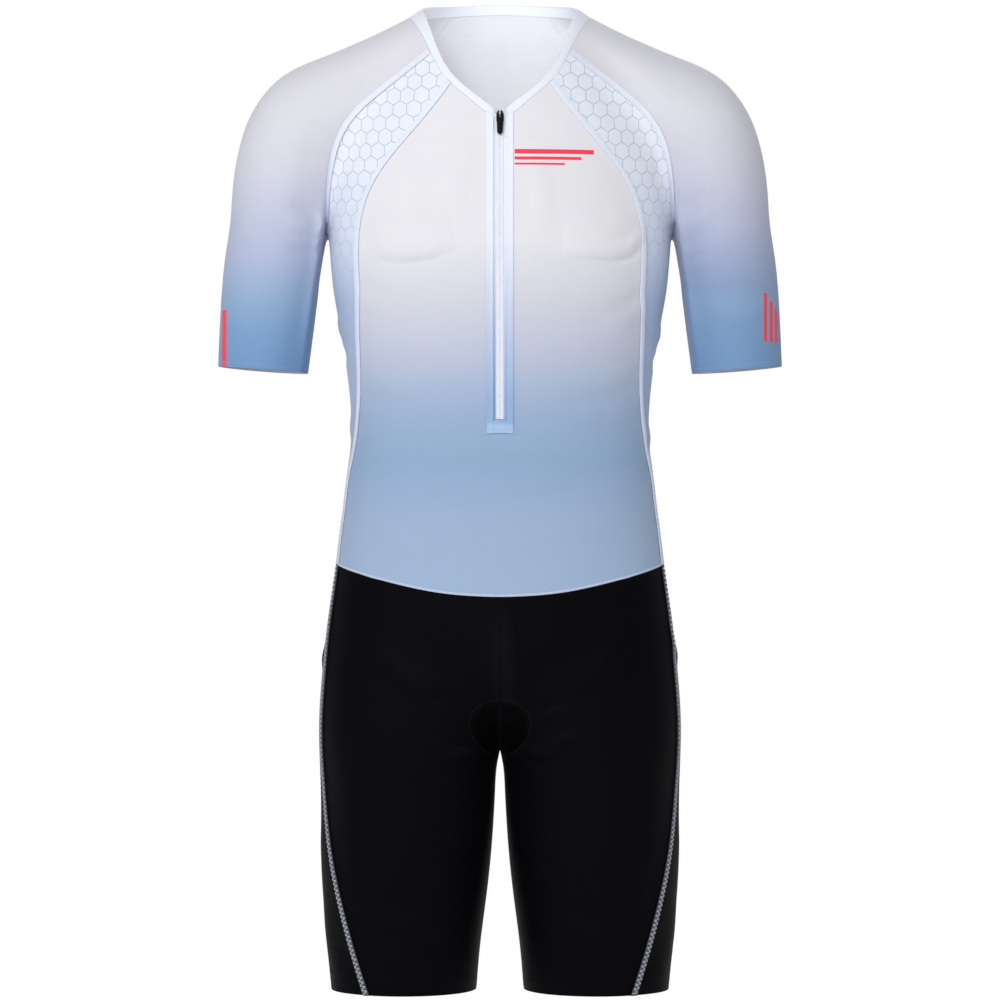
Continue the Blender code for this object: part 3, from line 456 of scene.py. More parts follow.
def seam_line(firsts, others, on=None, keep=None, start=2):
    """The line where some CAD nodes meet others, laid on the outside of the cloth or its tape.

    It starts at the seam's farthest point along one axis, which is the height unless told.
    """
    mine = np.concatenate([places(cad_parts[name].data) for name in firsts])
    mine = np.unique(np.round(mine, 6), axis=0)
    theirs = np.concatenate([places(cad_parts[name].data) for name in others])
    apart = np.linalg.norm(mine[:, None] - theirs[None], axis=2).min(axis=1)
    ends = mine[apart < 0.5 * MM]
    if keep is not None:
        ends = ends[keep(ends)]
    chain = [int(ends[:, start].argmax())]
    left = set(range(len(ends))) - set(chain)
    while left:
        here = ends[chain[-1]]
        away = {i: np.linalg.norm(ends[i] - here) for i in left}
        # the wall's other point, at the same place of the seam, is passed over
        left -= {i for i in left if away[i] < 3 * MM}
        if left:
            chain.append(min(left, key=away.get))
            left.discard(chain[-1])
    return laid(spaced(ends[chain]), on or [*firsts, *others])


def middle_seam(side, low):
    """The shorts' middle seam, from the cloth a little to each side of it."""
    names = ["shorts_" + side + "_" + leg for leg in SIDES]
    beside = [seen_line(side, ((x, WAIST), (x, low)), names=names) for x in (-2, 2)]
    count = min(len(line) for line, _ in beside)
    line = sum(line[:count] for line, _ in beside) / 2
    facing = evened(sum(facing[:count] for _, facing in beside), 3)
    return line, facing / np.linalg.norm(facing, axis=1, keepdims=True)


def laid(points, names):
    """A line moved to the nearest places on the outside of some panels."""
    tree = outer_skin(names)
    found = [tree.find_nearest(Vector(point))[:2] for point in points]
    return evened([place for place, _ in found], 2), evened([facing for _, facing in found], 4)


def evened(rows, times):
    """Rows of values with the jumps between neighbours taken out; the first and last stay."""
    rows = np.array(rows)
    for _ in range(times):
        rows[1:-1] = 0.5 * rows[1:-1] + 0.25 * (rows[2:] + rows[:-2])
    return rows


def waist_ring(tops, shorts, lower=0.0):
    """The lower edge of the top's panels all round, evened out, or a ring that far below it."""
    points = np.concatenate([places(panels[name].data) for name in tops])
    points = points[points[:, 2] < -500 * MM]
    turns = np.arctan2(points[:, 1], points[:, 0])
    ring = []
    for turn in np.linspace(-math.pi, math.pi, 121)[:-1]:
        near = points[abs((turns - turn + math.pi) % math.tau - math.pi) < NEAR_TURN]
        ring.append(near[near[:, 2] < near[:, 2].min() + 0.4 * MM].mean(axis=0))
    ring = np.array(ring)
    for _ in range(4):
        ring = 0.5 * ring + 0.25 * (np.roll(ring, 1, axis=0) + np.roll(ring, -1, axis=0))
    ring = spaced(np.concatenate([ring, ring[:1]]) - (0, 0, lower))
    return laid(ring, shorts if lower else [*tops, *shorts])


def ring_round(middle, across, radius, reach, names):
    """A ring on the outside of a limb of about that radius, by rays from that far out."""
    turns = np.linspace(0, math.tau, round(math.tau * radius / STEP) + 1)
    out = np.cos(turns)[:, None] * across + np.sin(turns)[:, None] * np.array([0, 1, 0])
    return cast(middle + reach * out, -out, names)


def leg_ring(side, height):
    """A level ring round a leg."""
    names = [name for name in panels if name.startswith("shorts") and name.endswith(side)]
    middle = np.array([leg_middle(SIDES[side], height), 0, height])
    return ring_round(middle, np.array([1, 0, 0]), 80 * MM, 150 * MM, names)


def arm_ring(side, from_end):
    """A ring round a sleeve, that far above its edge."""
    sign = SIDES[side]
    line = spaced(np.array(ARM_LINE) * MM * (sign, 1), 1 * MM)
    at = round((CUFF - from_end) / (1 * MM))
    way = line[at + 4] - line[at - 4]
    way /= np.linalg.norm(way)
    middle = np.array([line[at, 0], ARM_Y, line[at, 1]])
    across = np.array([-way[1] * sign, 0, way[0] * sign])
    return ring_round(middle, across, 50 * MM, 70 * MM, ["sleeve_" + side])


# --- creases ---


def crease_lines():
    """The creases as lines on the cloth, with their heights, which fade out towards the ends."""
    trunk = [name for name in panels if not name.startswith("sleeve")]
    for side, half_width, height, *points in CREASES:
        line, facing = seen_line(side, points, 5 * MM, trunk if side in SIDES else None)
        if len(line) > 2:
            along = way_along(line)
            fade = np.sin(math.pi * (along / along[-1])) ** 0.7
            yield line, facing, half_width * MM, height * MM * fade


def hump(value, middle, spread):
    """One at the middle, and soon nothing beyond the spread."""
    return np.exp(-(((value - middle) / spread) ** 2))


def tucked(points):
    """The cloth drawn up into a fold under each arm and at the crotch, the sleeve's edge in front
    of its fold, and the neck and waist rounded at the middle of the back."""
    armpit_lift, crotch_lift, fold_depth, edge_depth = 23, 9, 8, 13
    nape_slope, waist_slope = 0.085, 0.07
    x, y, z = points.T / MM
    depth = y - 6  # from the arm's middle
    aside = abs(x) - ARMPIT[0]
    lift = armpit_lift * hump(aside, 0, 5) * hump(z, ARMPIT[1], 27) * (abs(depth) < 62)
    outwards = np.sign(depth) * np.clip((abs(depth) - 2) / 20, 0, 1)
    fold = fold_depth * hump(aside, -4, 6) * hump(z, -214, 26)
    edge = aside - 3 - 0.14 * np.clip(ARMPIT[1] - z, -40, 130)
    length = np.clip((-178 - z) / 35, 0, 1) * np.clip((z + 385) / 90, 0.3, 1)
    forward = edge_depth * hump(edge, 0, 8) * length * np.clip((abs(x) - 170) / 3, 0, 1)
    lift += crotch_lift * hump(x, 0, 9) * hump(z, -722, 17)
    behind = np.clip((y - 30) / 30, 0, 1)
    nape = behind * np.clip((z + 30) / 20, 0, 1)
    lift -= nape * nape_slope * (np.hypot(x, 22) - abs(x))
    waist = behind * hump(z, -541, 45)
    lift += waist * waist_slope * (np.hypot(x, 26) - abs(x))
    return points + np.stack([0 * x, outwards * (forward - fold), lift], axis=1) * MM


def creased(points, lines):
    """The points moved by the creases that they lie near."""
    moved = tucked(points)
    for line, facing, half_width, height in lines:
        low, high = line.min(axis=0) - half_width, line.max(axis=0) + half_width
        near = np.nonzero(((points > low) & (points < high)).all(axis=1))[0]
        best = np.full(len(near), np.inf)
        shift = np.zeros((len(near), 3))
        for i in range(len(line) - 1):
            span = line[i + 1] - line[i]
            share = np.clip((points[near] - line[i]) @ span / (span @ span), 0, 1)
            away = np.linalg.norm(points[near] - line[i] - share[:, None] * span, axis=1)
            nearer = away < best
            best[nearer] = away[nearer]
            out = facing[i] + share[:, None] * (facing[i + 1] - facing[i])
            tall = height[i] + share * (height[i + 1] - height[i])
            shift[nearer] = (out * tall[:, None])[nearer]
        profile = np.clip(1 - (best / half_width) ** 2, 0, 1) ** 2
        moved[near] += shift * profile[:, None]
    return moved


lines = list(crease_lines())


# --- threads, piping and teeth ---

threads = {}


def frames_along(line, facing, pitch, start=0.0):
    """Even steps along a line on the cloth: place, way along, and way out."""
    along = way_along(line)
    at = np.arange(start + pitch / 2, along[-1] - start, pitch)
    place, out = read_at(at, along, line), read_at(at, along, facing)
    way = read_at(at + pitch / 2, along, line) - read_at(at - pitch / 2, along, line)
    way /= np.linalg.norm(way, axis=1)[:, None]
    out -= (out * way).sum(axis=1)[:, None] * way
    out /= np.linalg.norm(out, axis=1)[:, None]
    return place, way, out


def cut(bm, place, way):
    """Cuts in two every face that a plane crosses."""
    everything = bm.verts[:] + bm.edges[:] + bm.faces[:]
    bmesh.ops.bisect_plane(bm, geom=everything, plane_co=place, plane_no=way)


def thread_loop(length, thickness, rise):
    """One stitch: a thread that rises from the cloth, runs along it, and goes back in."""
    bm = bmesh.new()
    bmesh.ops.create_cone(
        bm,
        cap_ends=True,
        segments=5,
        radius1=thickness / 2,
        radius2=thickness / 2,
        depth=length,
        matrix=Matrix.Rotation(math.pi / 2, 4, "Y"),
    )
    for x in (-0.34, 0.34):
        cut(bm, (x * length, 0, 0), (1, 0, 0))
    for vertex in bm.verts:
        vertex.co.z += rise if abs(vertex.co.x) < 0.4 * length else -0.6 * thickness
    return bm


def repeated(name, form, sets):
    """Many copies of one small form, as a single mesh that stands on the cloth."""
    corners = np.array([vertex.co for vertex in form.verts])
    faces = [[vertex.index for vertex in face.verts] for face in form.faces]
    form.free()
    place, way, out = (np.concatenate(parts) for parts in zip(*sets))
    side = np.cross(out, way)
    points = place[:, None] + (
        corners[None, :, :1] * way[:, None]
        + corners[None, :, 1:2] * side[:, None]
        + corners[None, :, 2:] * out[:, None]
    )
    polygons = [[i + k * len(corners) for i in face] for k in range(len(place)) for face in faces]
    mesh = bpy.data.meshes.new(name)
    mesh.from_pydata(creased(points.reshape(-1, 3), lines).tolist(), [], polygons)
    mesh.shade_smooth()
    threads[name] = shown(name, mesh)


def zigzag(name, line_sets, half_width, pitch, thickness=0.45, rise=0.1):
    """A flat seam's cover thread, slanting to and fro across the seam; sizes in millimetres."""
    half_width, pitch = half_width * MM, pitch * MM
    slants = []
    for line, facing in line_sets:
        place, way, out = frames_along(line, facing, pitch, 1.5 * MM)
        lean = np.where(np.arange(len(place)) % 2, 1, -1) * math.atan2(2 * half_width, pitch)
        slant = np.cos(lean)[:, None] * way + np.sin(lean)[:, None] * np.cross(out, way)
        slants.append((place, slant, out))
    form = thread_loop(math.hypot(2 * half_width, pitch), thickness * MM, rise * MM)
    repeated(name, form, slants)


def stitch_row(name, line_sets, pitch=2.6, thickness=0.45):
    """Plain stitches, one after another; sizes in millimetres."""
    sets = [frames_along(line, facing, pitch * MM) for line, facing in line_sets]
    repeated(name, thread_loop(pitch * MM * 0.9, thickness * MM, 0.05 * MM), sets)


def band(name, line, facing, width, height, closed=False):
    """A flat sewn piping that runs along a line; sizes in millimetres."""
    width, height = width * MM, height * MM
    curve = bpy.data.curves.new(name, "CURVE")
    curve.dimensions = "3D"
    curve.bevel_depth = width / 2
    curve.bevel_resolution = 2
    curve.use_fill_caps = not closed
    spline = curve.splines.new("POLY")
    spline.points.add(len(line) - 1)
    spline.points.foreach_set("co", np.c_[line, np.ones(len(line))].ravel())
    spline.use_cyclic_u = closed
    helper = bpy.data.objects.new("helper", curve)
    mesh = bpy.data.meshes.new_from_object(helper)
    bpy.data.curves.remove(curve)
    points = places(mesh)
    nearest = np.linalg.norm(points[:, None] - line[None], axis=2).argmin(axis=1)
    lift = ((points - line[nearest]) * facing[nearest]).sum(axis=1)
    points += ((height / width - 1) * lift)[:, None] * facing[nearest]
    put_places(mesh, creased(points, lines))
    mesh.name = name
    mesh.shade_smooth()
    threads[name] = shown(name, mesh)


def inward(line, facing, aside):
    """A neck line moved on to the binding, towards the opening."""
    towards = -line * (1, 1, 0)
    towards -= (towards * facing).sum(axis=1)[:, None] * facing
    towards /= np.linalg.norm(towards, axis=1)[:, None]
    return laid(line + aside * towards, ["neck_binding"])


seams = {}
for side in SIDES:
    panel, sleeve = "side_panel_" + side, "sleeve_" + side
    seams["front_" + side] = seam_line(["front"], [panel], ["front_seam_tape_" + side])
    seams["raglan_" + side] = seam_line([panel], [sleeve], ["raglan_tape_" + side])
    seams["armhole_back_" + side] = seam_line(["back"], [sleeve])
    seams["side_back_" + side] = seam_line([panel], ["back"])
    legs = (["shorts_front_" + side], ["shorts_back_" + side])
    tape = ["shorts_seam_tape_" + side]
    seams["outer_leg_" + side] = seam_line(*legs, tape, lambda p: abs(p[:, 0]) > 100 * MM)
    seams["inner_leg_" + side] = seam_line(*legs, keep=lambda p: abs(p[:, 0]) < 60 * MM)
for side, low in (("front", -718), ("back", -722)):
    seams["middle_" + side] = middle_seam(side, low)
top_panels = ["front", "back", "side_panel_left", "side_panel_right"]
shorts_panels = [name for name in panels if name.startswith("shorts") and "tape" not in name]
seams["waist"] = waist_ring(top_panels, shorts_panels)
seams["below_waist"] = waist_ring(top_panels, shorts_panels, 4 * MM)
binding, binding_meets = ["neck_binding"], ["front", "back"]
binding_meets += [name + side for name in ("side_panel_", "sleeve_") for side in SIDES]
for side, sign in SIDES.items():
    half = seam_line(binding, binding_meets, binding, lambda p: p[:, 0] * sign > -1 * MM, start=1)
    seams["neck_" + side] = half

# the outline of the seat pad, sewn through the shorts: seen from the front and from the back
PAD_FRONT = ((-8.6, -719), (-15, -713.5), (-22, -706), (-27.5, -696), (-29.7, -686), (-27.3, -675))
PAD_FRONT += ((-20, -667.5), (-10, -663), (0, -661.8))
PAD_BACK = ((0, -663), (22, -664), (40, -668), (56, -676), (66, -689), (69, -704), (64, -719))
PAD_BACK += ((54, -731), (40, -739), (27, -743), (15, -744))


def both_halves(points):
    return [*points, *[(-x, z) for x, z in points[-2::-1]]]


pad_front = seen_line("front", both_halves(PAD_FRONT), names=shorts_panels)
pad_back = seen_line("back", both_halves(PAD_BACK[::-1]), names=shorts_panels)
for side in SIDES:
    for name, along, *sizes in (
        ("front_seam_threads_", ("front_",), 2.4, 2.3),
        ("raglan_threads_", ("raglan_",), 2.4, 2.3),
        ("back_threads_", ("armhole_back_", "side_back_"), 1.7, 2.2),
        ("outer_leg_threads_", ("outer_leg_",), 2.7, 2.3, 0.6),
        ("inner_leg_threads_", ("inner_leg_",), 1.6, 2.4),
    ):
        zigzag(name + side, [seams[seam + side] for seam in along], *sizes)
    stitch_row("hem_threads_" + side, [leg_ring(side, -938 * MM), leg_ring(side, -930.5 * MM)])
    stitch_row("cuff_threads_" + side, [arm_ring(side, 4 * MM)])
middles = [seams["middle_" + side] for side in ("front", "back")]
for side, seam in zip(("front", "back"), middles):
    band("middle_cover_" + side, *seam, 2.6, 0.7)
zigzag("shorts_middle_threads", middles, 1.9, 2.2, rise=0.5)
stitch_row("pad_threads", [pad_front, pad_back], thickness=0.9)
band("waist_piping", *seams["waist"], 2.8, 1.8, closed=True)
stitch_row("waist_threads", [seams["below_waist"]])
neck_rows = [inward(*seams["neck_" + side], 1.6 * MM) for side in SIDES]
stitch_row("binding_threads", neck_rows, 2.2, 0.35)
placket_ends = [((x, -106), (x, -403)) for x in (-11.3, 11.3, -6.4, 6.4)]
placket_ends.append(((-11.3, -404), (11.3, -404)))
placket_rows = [seen_line("front", ends, names=["zip_placket"]) for ends in placket_ends]
stitch_row("placket_threads", placket_rows, 2.2, 0.4)


# --- the zip ---

# the tapes' upper ends slope down to the slider, and each tape bulges a little beside the coil
for side in SIDES:
    tape = panels["zip_tape_" + side].data
    points = places(tape)
    points[:, 2] = np.minimum(points[:, 2], (-102 + 0.73 * abs(points[:, 0]) / MM) * MM)
    points[:, 1] -= 1.1 * MM * hump(abs(points[:, 0]) / MM, 5.0, 1.2)
    put_places(tape, points)


def zip_teeth():
    """The two rows of teeth in the closed coil, one half a tooth ahead of the other."""
    tapes = ["zip_tape_" + side for side in SIDES]
    sets = []
    for sign, shift in ((-1, 0), (1, 0.65 * MM)):
        ends = ((1.6 * sign, -101.2), (1.6 * sign, -393.2))
        place, way, out = frames_along(*seen_line("front", ends, names=tapes), 1.3 * MM)
        sets.append((place + shift * way, np.cross(out, way), out))
    repeated("zip_teeth", thread_loop(3.4 * MM, 0.8 * MM, 0.05 * MM), sets)


zip_teeth()


def edges_rounded(bm, edges, radius, segments):
    bmesh.ops.bevel(
        bm,
        geom=edges,
        offset=radius,
        segments=segments,
        profile=0.5,
        affect="EDGES",
        material=-1,
        clamp_overlap=True,
    )


def sharp_edges(bm, degrees):
    return [edge for edge in bm.edges if edge.calc_face_angle(0) > math.radians(degrees)]


def hard_part(bm, node, body):
    """The form as the visible piece of a moulded or cast CAD node."""
    mesh = finished(bm, node + "_made")
    mesh.set_sharp_from_angle(angle=math.radians(40))
    return in_place_of(node, mesh, "_made", body)


def cast_slider():
    """The slider in its CAD node's place, with its ends and edges rounded."""
    bm = merged_copy("zip_slider")
    low, high = (np.array(corner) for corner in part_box("zip_slider"))
    half = (high[0] - low[0]) / 2
    for share in (0.08, 0.16, 0.26, 0.38, 0.62, 0.8, 0.92):
        cut(bm, (0, 0, high[2] - share * (high[2] - low[2])), (0, 0, 1))
    for vertex in bm.verts:
        past_top = max(0, vertex.co.z - (high[2] - 1.05 * half)) / (1.25 * half)
        past_foot = max(0, low[2] + 0.5 * half - vertex.co.z) / (0.8 * half)
        vertex.co.x *= math.sqrt(1 - past_top**2) * math.sqrt(1 - 0.6 * past_foot**2)
    edges_rounded(bm, sharp_edges(bm, 35), 0.2 * MM, 2)
    return hard_part(bm, "zip_slider", "suit")


def moulded_pull():
    """The pull: a tapered tab with round ends, an eye for the slider's bridge, and grip ribs."""
    corners = places(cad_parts["zip_pull"].data)
    middle = corners.mean(axis=0)
    up = Vector(np.linalg.svd(corners - middle)[2][0])
    up *= 1 if up.z > 0 else -1
    across = Vector((1, 0, 0))
    stand = Matrix((across, up, across.cross(up))).transposed()
    flat = (corners - middle) @ np.array(stand)
    (left, foot, back), (right, head, face) = flat.min(axis=0), flat.max(axis=0)
    half, eye = (right - left) / 2, 1.5 * MM
    bm = bmesh.new()
    outline = bmesh.ops.create_circle(bm, segments=40, radius=half)["verts"]
    for vertex in outline:
        vertex.co.y += head - half if vertex.co.y > 1e-6 else foot + half
        vertex.co.x *= 1 if vertex.co.y > 0 else 0.8
    hole = bmesh.ops.create_circle(bm, segments=40, radius=eye)["verts"]
    for vertex in hole:
        vertex.co.y = 0.98 * vertex.co.y + head - 1.25 * MM - eye
    bmesh.ops.bridge_loops(bm, edges=bm.edges[:])
    for down in (4.4, 6.2, 8):
        cut(bm, (0, head - down * MM, 0), (0, 1, 0))
    raised = bmesh.ops.extrude_face_region(bm, geom=bm.faces[:])["geom"]
    for vertex in bm.verts:
        vertex.co.z = back
    for vertex in (part for part in raised if isinstance(part, bmesh.types.BMVert)):
        low = min(1, max(0, (vertex.co.y - (head - 6.2 * MM)) / (1.8 * MM)))
        vertex.co.z = face - low * 0.6 * MM
    bmesh.ops.recalc_face_normals(bm, faces=bm.faces)
    edges_rounded(bm, sharp_edges(bm, 50), 0.28 * MM, 3)
    for k in range(5):
        place = Matrix.Translation((0, foot + (3.0 + 1.5 * k) * MM, face))
        size = Matrix.Diagonal((1.05 * half, 0.6 * MM, 0.5 * MM, 1))
        rib = bmesh.ops.create_cube(bm, size=1, matrix=place @ size)["verts"]
        rib_edges = dict.fromkeys(edge for vertex in rib for edge in vertex.link_edges)
        edges_rounded(bm, list(rib_edges), 0.14 * MM, 2)
    centre = Vector(((left + right) / 2, 0, 0))
    to_place = Matrix.Translation(Vector(middle) + stand @ centre) @ stand.to_4x4()
    bmesh.ops.transform(bm, matrix=to_place, verts=bm.verts)
    return hard_part(bm, "zip_pull", "zip_pull")


slider = cast_slider()
pull = moulded_pull()

# --- materials ---


def add(tree, kind, values=(), **settings):
    """A node with its settings and inputs, each a value or another node's output."""
    made = tree.nodes.new("ShaderNode" + kind)
    for name, value in settings.items():
        setattr(made, name, value)
    for key, value in dict(values).items():
        if isinstance(value, bpy.types.NodeSocket):
            tree.links.new(value, made.inputs[key])
        else:
            made.inputs[key].default_value = value
    return made


def calc(tree, operation, *values):
    return add(tree, "Math", enumerate(values), operation=operation).outputs[0]


def steps(tree, value, low, high, start=0.0, end=1.0, smooth=False):
    """The value taken from one range to another, and kept inside it."""
    kind = "SMOOTHSTEP" if smooth else "LINEAR"
    inputs = {"Value": value, "From Min": low, "From Max": high, "To Min": start, "To Max": end}
    return add(tree, "MapRange", inputs, interpolation_type=kind).outputs["Result"]


def mixed(tree, share, one, other, how="MIX"):
    made = add(tree, "Mix", {0: share, 6: one, 7: other}, data_type="RGBA", blend_type=how)
    return made.outputs[2]


def shaded(tree, colour, shade):
    """The colour times a number."""
    grey = add(tree, "CombineColor", {0: shade, 1: shade, 2: shade}).outputs[0]
    return mixed(tree, 1.0, colour, grey, "MULTIPLY")


def ramp(tree, share, stops):
    """A run of colours: stops are (share, colour)."""
    made = add(tree, "ValToRGB", {"Fac": share})
    elements = made.color_ramp.elements
    for element, (place, colour) in zip(elements, (stops[0], stops[-1])):
        element.position, element.color = place, colour
    for place, colour in stops[1:-1]:
        elements.new(place).color = colour
    return made.outputs["Color"]


def new_group(name, inputs, outputs):
    tree = bpy.data.node_groups.new(name, "ShaderNodeTree")
    for label, value in inputs.items():
        socket = tree.interface.new_socket(label, in_out="INPUT", socket_type="NodeSocketFloat")
        socket.default_value = value
    for label in outputs:
        tree.interface.new_socket(label, in_out="OUTPUT", socket_type="NodeSocketFloat")
    return tree, tree.nodes.new("NodeGroupInput").outputs, tree.nodes.new("NodeGroupOutput").inputs


def use(tree, group, **values):
    made = tree.nodes.new("ShaderNodeGroup")
    made.node_tree = group
    for key, value in values.items():
        key = key.replace("_", " ")
        if isinstance(value, bpy.types.NodeSocket):
            tree.links.new(value, made.inputs[key])
        else:
            made.inputs[key].default_value = value
    return made.outputs


def flat_map(tree):
    """How far a point is round and along the cloth, in metres."""
    flat = add(tree, "UVMap", uv_map="Cloth").outputs["UV"]
    return add(tree, "SeparateXYZ", {0: flat}).outputs


def object_axes(tree):
    place = add(tree, "TexCoord").outputs["Object"]
    return add(tree, "SeparateXYZ", {0: place}).outputs


def noise(tree, scale, detail):
    """An even noise through the piece, from 0 to 1."""
    place = add(tree, "TexCoord").outputs["Object"]
    return add(tree, "TexNoise", {"Vector": place, "Scale": scale, "Detail": detail}).outputs["Fac"]


def sine_of_turns(tree, turns, swing, middle):
    wave = calc(tree, "SINE", calc(tree, "MULTIPLY", turns, math.tau))
    return calc(tree, "MULTIPLY_ADD", wave, swing, middle)


def make_knit():
    """Knitted loops as a height: columns of small V shapes."""
    tree, given, out = new_group("knit_loops", {"Wale": 0.0011, "Course": 0.0008}, ("Height",))
    flat = flat_map(tree)
    column = calc(tree, "FRACT", calc(tree, "DIVIDE", flat[0], given["Wale"]))
    edge = calc(tree, "ABSOLUTE", calc(tree, "MULTIPLY_ADD", column, 2, -1))
    row = calc(tree, "ADD", calc(tree, "DIVIDE", flat[1], given["Course"]), edge)
    crown = calc(tree, "SUBTRACT", 1, calc(tree, "POWER", edge, 2))
    loops = calc(tree, "MULTIPLY", sine_of_turns(tree, row, 0.25, 0.75), crown)
    tree.links.new(loops, out["Height"])
    return tree


def make_ribs():
    """Fine ribs across the cloth."""
    tree, given, out = new_group("fine_ribs", {"Pitch": 0.002}, ("Height",))
    row = calc(tree, "DIVIDE", flat_map(tree)[1], given["Pitch"])
    tree.links.new(sine_of_turns(tree, row, 0.5, 0.5), out["Height"])
    return tree


def make_mottle():
    """The slight unevenness of dyed cloth, about one."""
    tree, given, out = new_group("mottle", {"Size": 0.02, "Amount": 0.03}, ("Shade",))
    cloud = noise(tree, calc(tree, "DIVIDE", 1, given["Size"]), 3)
    swing = calc(tree, "MULTIPLY", calc(tree, "SUBTRACT", cloud, 0.5), given["Amount"])
    tree.links.new(calc(tree, "MULTIPLY_ADD", swing, 2, 1), out["Shade"])
    return tree


def make_honeycomb():
    """Thin outlines of six-sided cells."""
    tree, given, out = new_group("honeycomb", {"Cell": 0.015, "Line": 0.0004}, ("Mask",))
    half_high = 0.866  # half a cell's repeat upwards, where its width is one
    u, v = (calc(tree, "DIVIDE", way, given["Cell"]) for way in flat_map(tree)[:2])
    nearest = []
    for shift in (0, 0.5):
        across = calc(tree, "WRAP", calc(tree, "ADD", u, shift), 0.5, -0.5)
        raised = calc(tree, "ADD", v, shift * math.sqrt(3))
        up = calc(tree, "WRAP", raised, half_high, -half_high)
        across, up = calc(tree, "ABSOLUTE", across), calc(tree, "ABSOLUTE", up)
        slant = calc(tree, "MULTIPLY_ADD", across, 0.5, calc(tree, "MULTIPLY", up, half_high))
        nearest.append(calc(tree, "MAXIMUM", across, slant))
    edge = calc(tree, "SUBTRACT", 0.5, calc(tree, "MINIMUM", *nearest))
    share = calc(tree, "DIVIDE", edge, calc(tree, "DIVIDE", given["Line"], given["Cell"]))
    tree.links.new(steps(tree, share, 0.7, 1.3, 1, 0), out["Mask"])
    return tree


def make_bar():
    """A printed bar, as seen from the front."""
    inputs = {"X": 0.0, "Z": 0.0, "Half width": 0.01, "Half height": 0.002}
    tree, given, out = new_group("printed_bar", inputs, ("Mask",))
    axes = object_axes(tree)
    across = calc(tree, "ABSOLUTE", calc(tree, "SUBTRACT", axes[0], given["X"]))
    up = calc(tree, "ABSOLUTE", calc(tree, "SUBTRACT", axes[2], given["Z"]))
    past_side = calc(tree, "SUBTRACT", across, given["Half width"])
    past_end = calc(tree, "SUBTRACT", up, given["Half height"])
    over = calc(tree, "MAXIMUM", past_side, past_end)
    in_front = calc(tree, "LESS_THAN", axes[1], ARM_Y)
    inside = steps(tree, over, -0.2 * MM, 0.2 * MM, 1, 0)
    tree.links.new(calc(tree, "MULTIPLY", inside, in_front), out["Mask"])
    return tree


knit, ribs, mottle = make_knit(), make_ribs(), make_mottle()
honeycomb, bar = make_honeycomb(), make_bar()
CORAL, LINING, CELL_LINE = srgb(246, 62, 84), srgb(234, 234, 242), srgb(160, 173, 188)


def finish(name, **sockets):
    """A material with its own shader; the values are set on the shader's own sockets."""
    material = bpy.data.materials.new(name)
    material.use_nodes = True
    tree = material.node_tree
    shader = tree.nodes["Principled BSDF"]
    for label, value in sockets.items():
        shader.inputs[label.replace("_", " ")].default_value = value
    return material, tree, shader


def colour_to(tree, shader, colour):
    tree.links.new(colour, shader.inputs["Base Color"])


def bump_to(tree, shader, height, distance, strength=0.6):
    bump = add(tree, "Bump", {"Height": height, "Distance": distance, "Strength": strength})
    tree.links.new(bump.outputs["Normal"], shader.inputs["Normal"])


def by_height(tree, stops):
    """Colours by height: stops are (height in millimetres, colour), from the top down."""
    top, bottom = stops[0][0] * MM, stops[-1][0] * MM
    waver = use(tree, mottle, Size=0.05, Amount=0.004)["Shade"]
    height = calc(tree, "ADD", object_axes(tree)[2], calc(tree, "SUBTRACT", waver, 1))
    share = steps(tree, height, top, bottom)
    runs = [((h * MM - top) / (bottom - top), colour) for h, colour in stops]
    return ramp(tree, share, runs)


def knit_cloth(name, stops, bars=(), lattice=False, inside=0.0):
    """Printed stretch knit, dyed by height; inside is the lining's share of an inner skin."""
    material, tree, shader = finish(
        name, Roughness=0.78, Sheen_Weight=0.15, Sheen_Roughness=0.5, Specular_IOR_Level=0.3
    )
    colour = by_height(tree, stops)
    if lattice:
        outlines = use(tree, honeycomb, Cell=0.0155, Line=0.00052)["Mask"]
        fade = steps(tree, object_axes(tree)[2], -0.30, -0.17, 0.0, 0.6)
        colour = mixed(tree, calc(tree, "MULTIPLY", outlines, fade), colour, CELL_LINE)
    for x, z, half_width, half_height in bars:
        sizes = {"Half_width": half_width * MM, "Half_height": half_height * MM}
        mask = use(tree, bar, X=x * MM, Z=z * MM, **sizes)["Mask"]
        colour = mixed(tree, mask, colour, CORAL)
    if inside:
        colour = mixed(tree, inside, colour, LINING)
    height = use(tree, knit, Wale=0.0011, Course=0.0011 * 0.75)["Height"]
    shade = use(tree, mottle, Size=0.012, Amount=0.02)["Shade"]
    # painted shade: the grooves between the loops a little darker
    shade = calc(tree, "MULTIPLY", shade, steps(tree, height, 0, 1, 0.93, 1.0))
    colour = shaded(tree, colour, shade)
    if inside:
        waves = use(tree, ribs, Pitch=0.0021)["Height"]
        # painted shade: the troughs between the lining's ribs darker
        colour = shaded(tree, colour, steps(tree, waves, 0, 1, 0.93, 1.0))
        height = calc(tree, "ADD", height, waves)
    colour_to(tree, shader, colour)
    bump_to(tree, shader, height, 0.00012)
    return material


def oval(tree, x, z, wide, tall):
    """The distance from an oval's middle as seen from the front, squared: one at its edge."""
    axes = object_axes(tree)
    across = calc(tree, "DIVIDE", calc(tree, "SUBTRACT", axes[0], x * MM), wide * MM)
    up = calc(tree, "DIVIDE", calc(tree, "SUBTRACT", axes[2], z * MM), tall * MM)
    return calc(tree, "ADD", calc(tree, "POWER", across, 2), calc(tree, "POWER", up, 2))


# painted highlights where the black cloth is stretched: an oval's middle and half sizes, and how
# much lighter; and painted shade where it turns under at the seat pad's nose
PAINTED_HIGHLIGHTS = (
    ((4, -632, 14, 66), 2.0),
    ((-9, -612, 15, 42), 1.35),
    ((-32, -712, 28, 9), 1.6),
    ((34, -710, 30, 9), 1.6),
)
PAD_NOSE_PAINTED_SHADE = (0, -691, 29, 28)


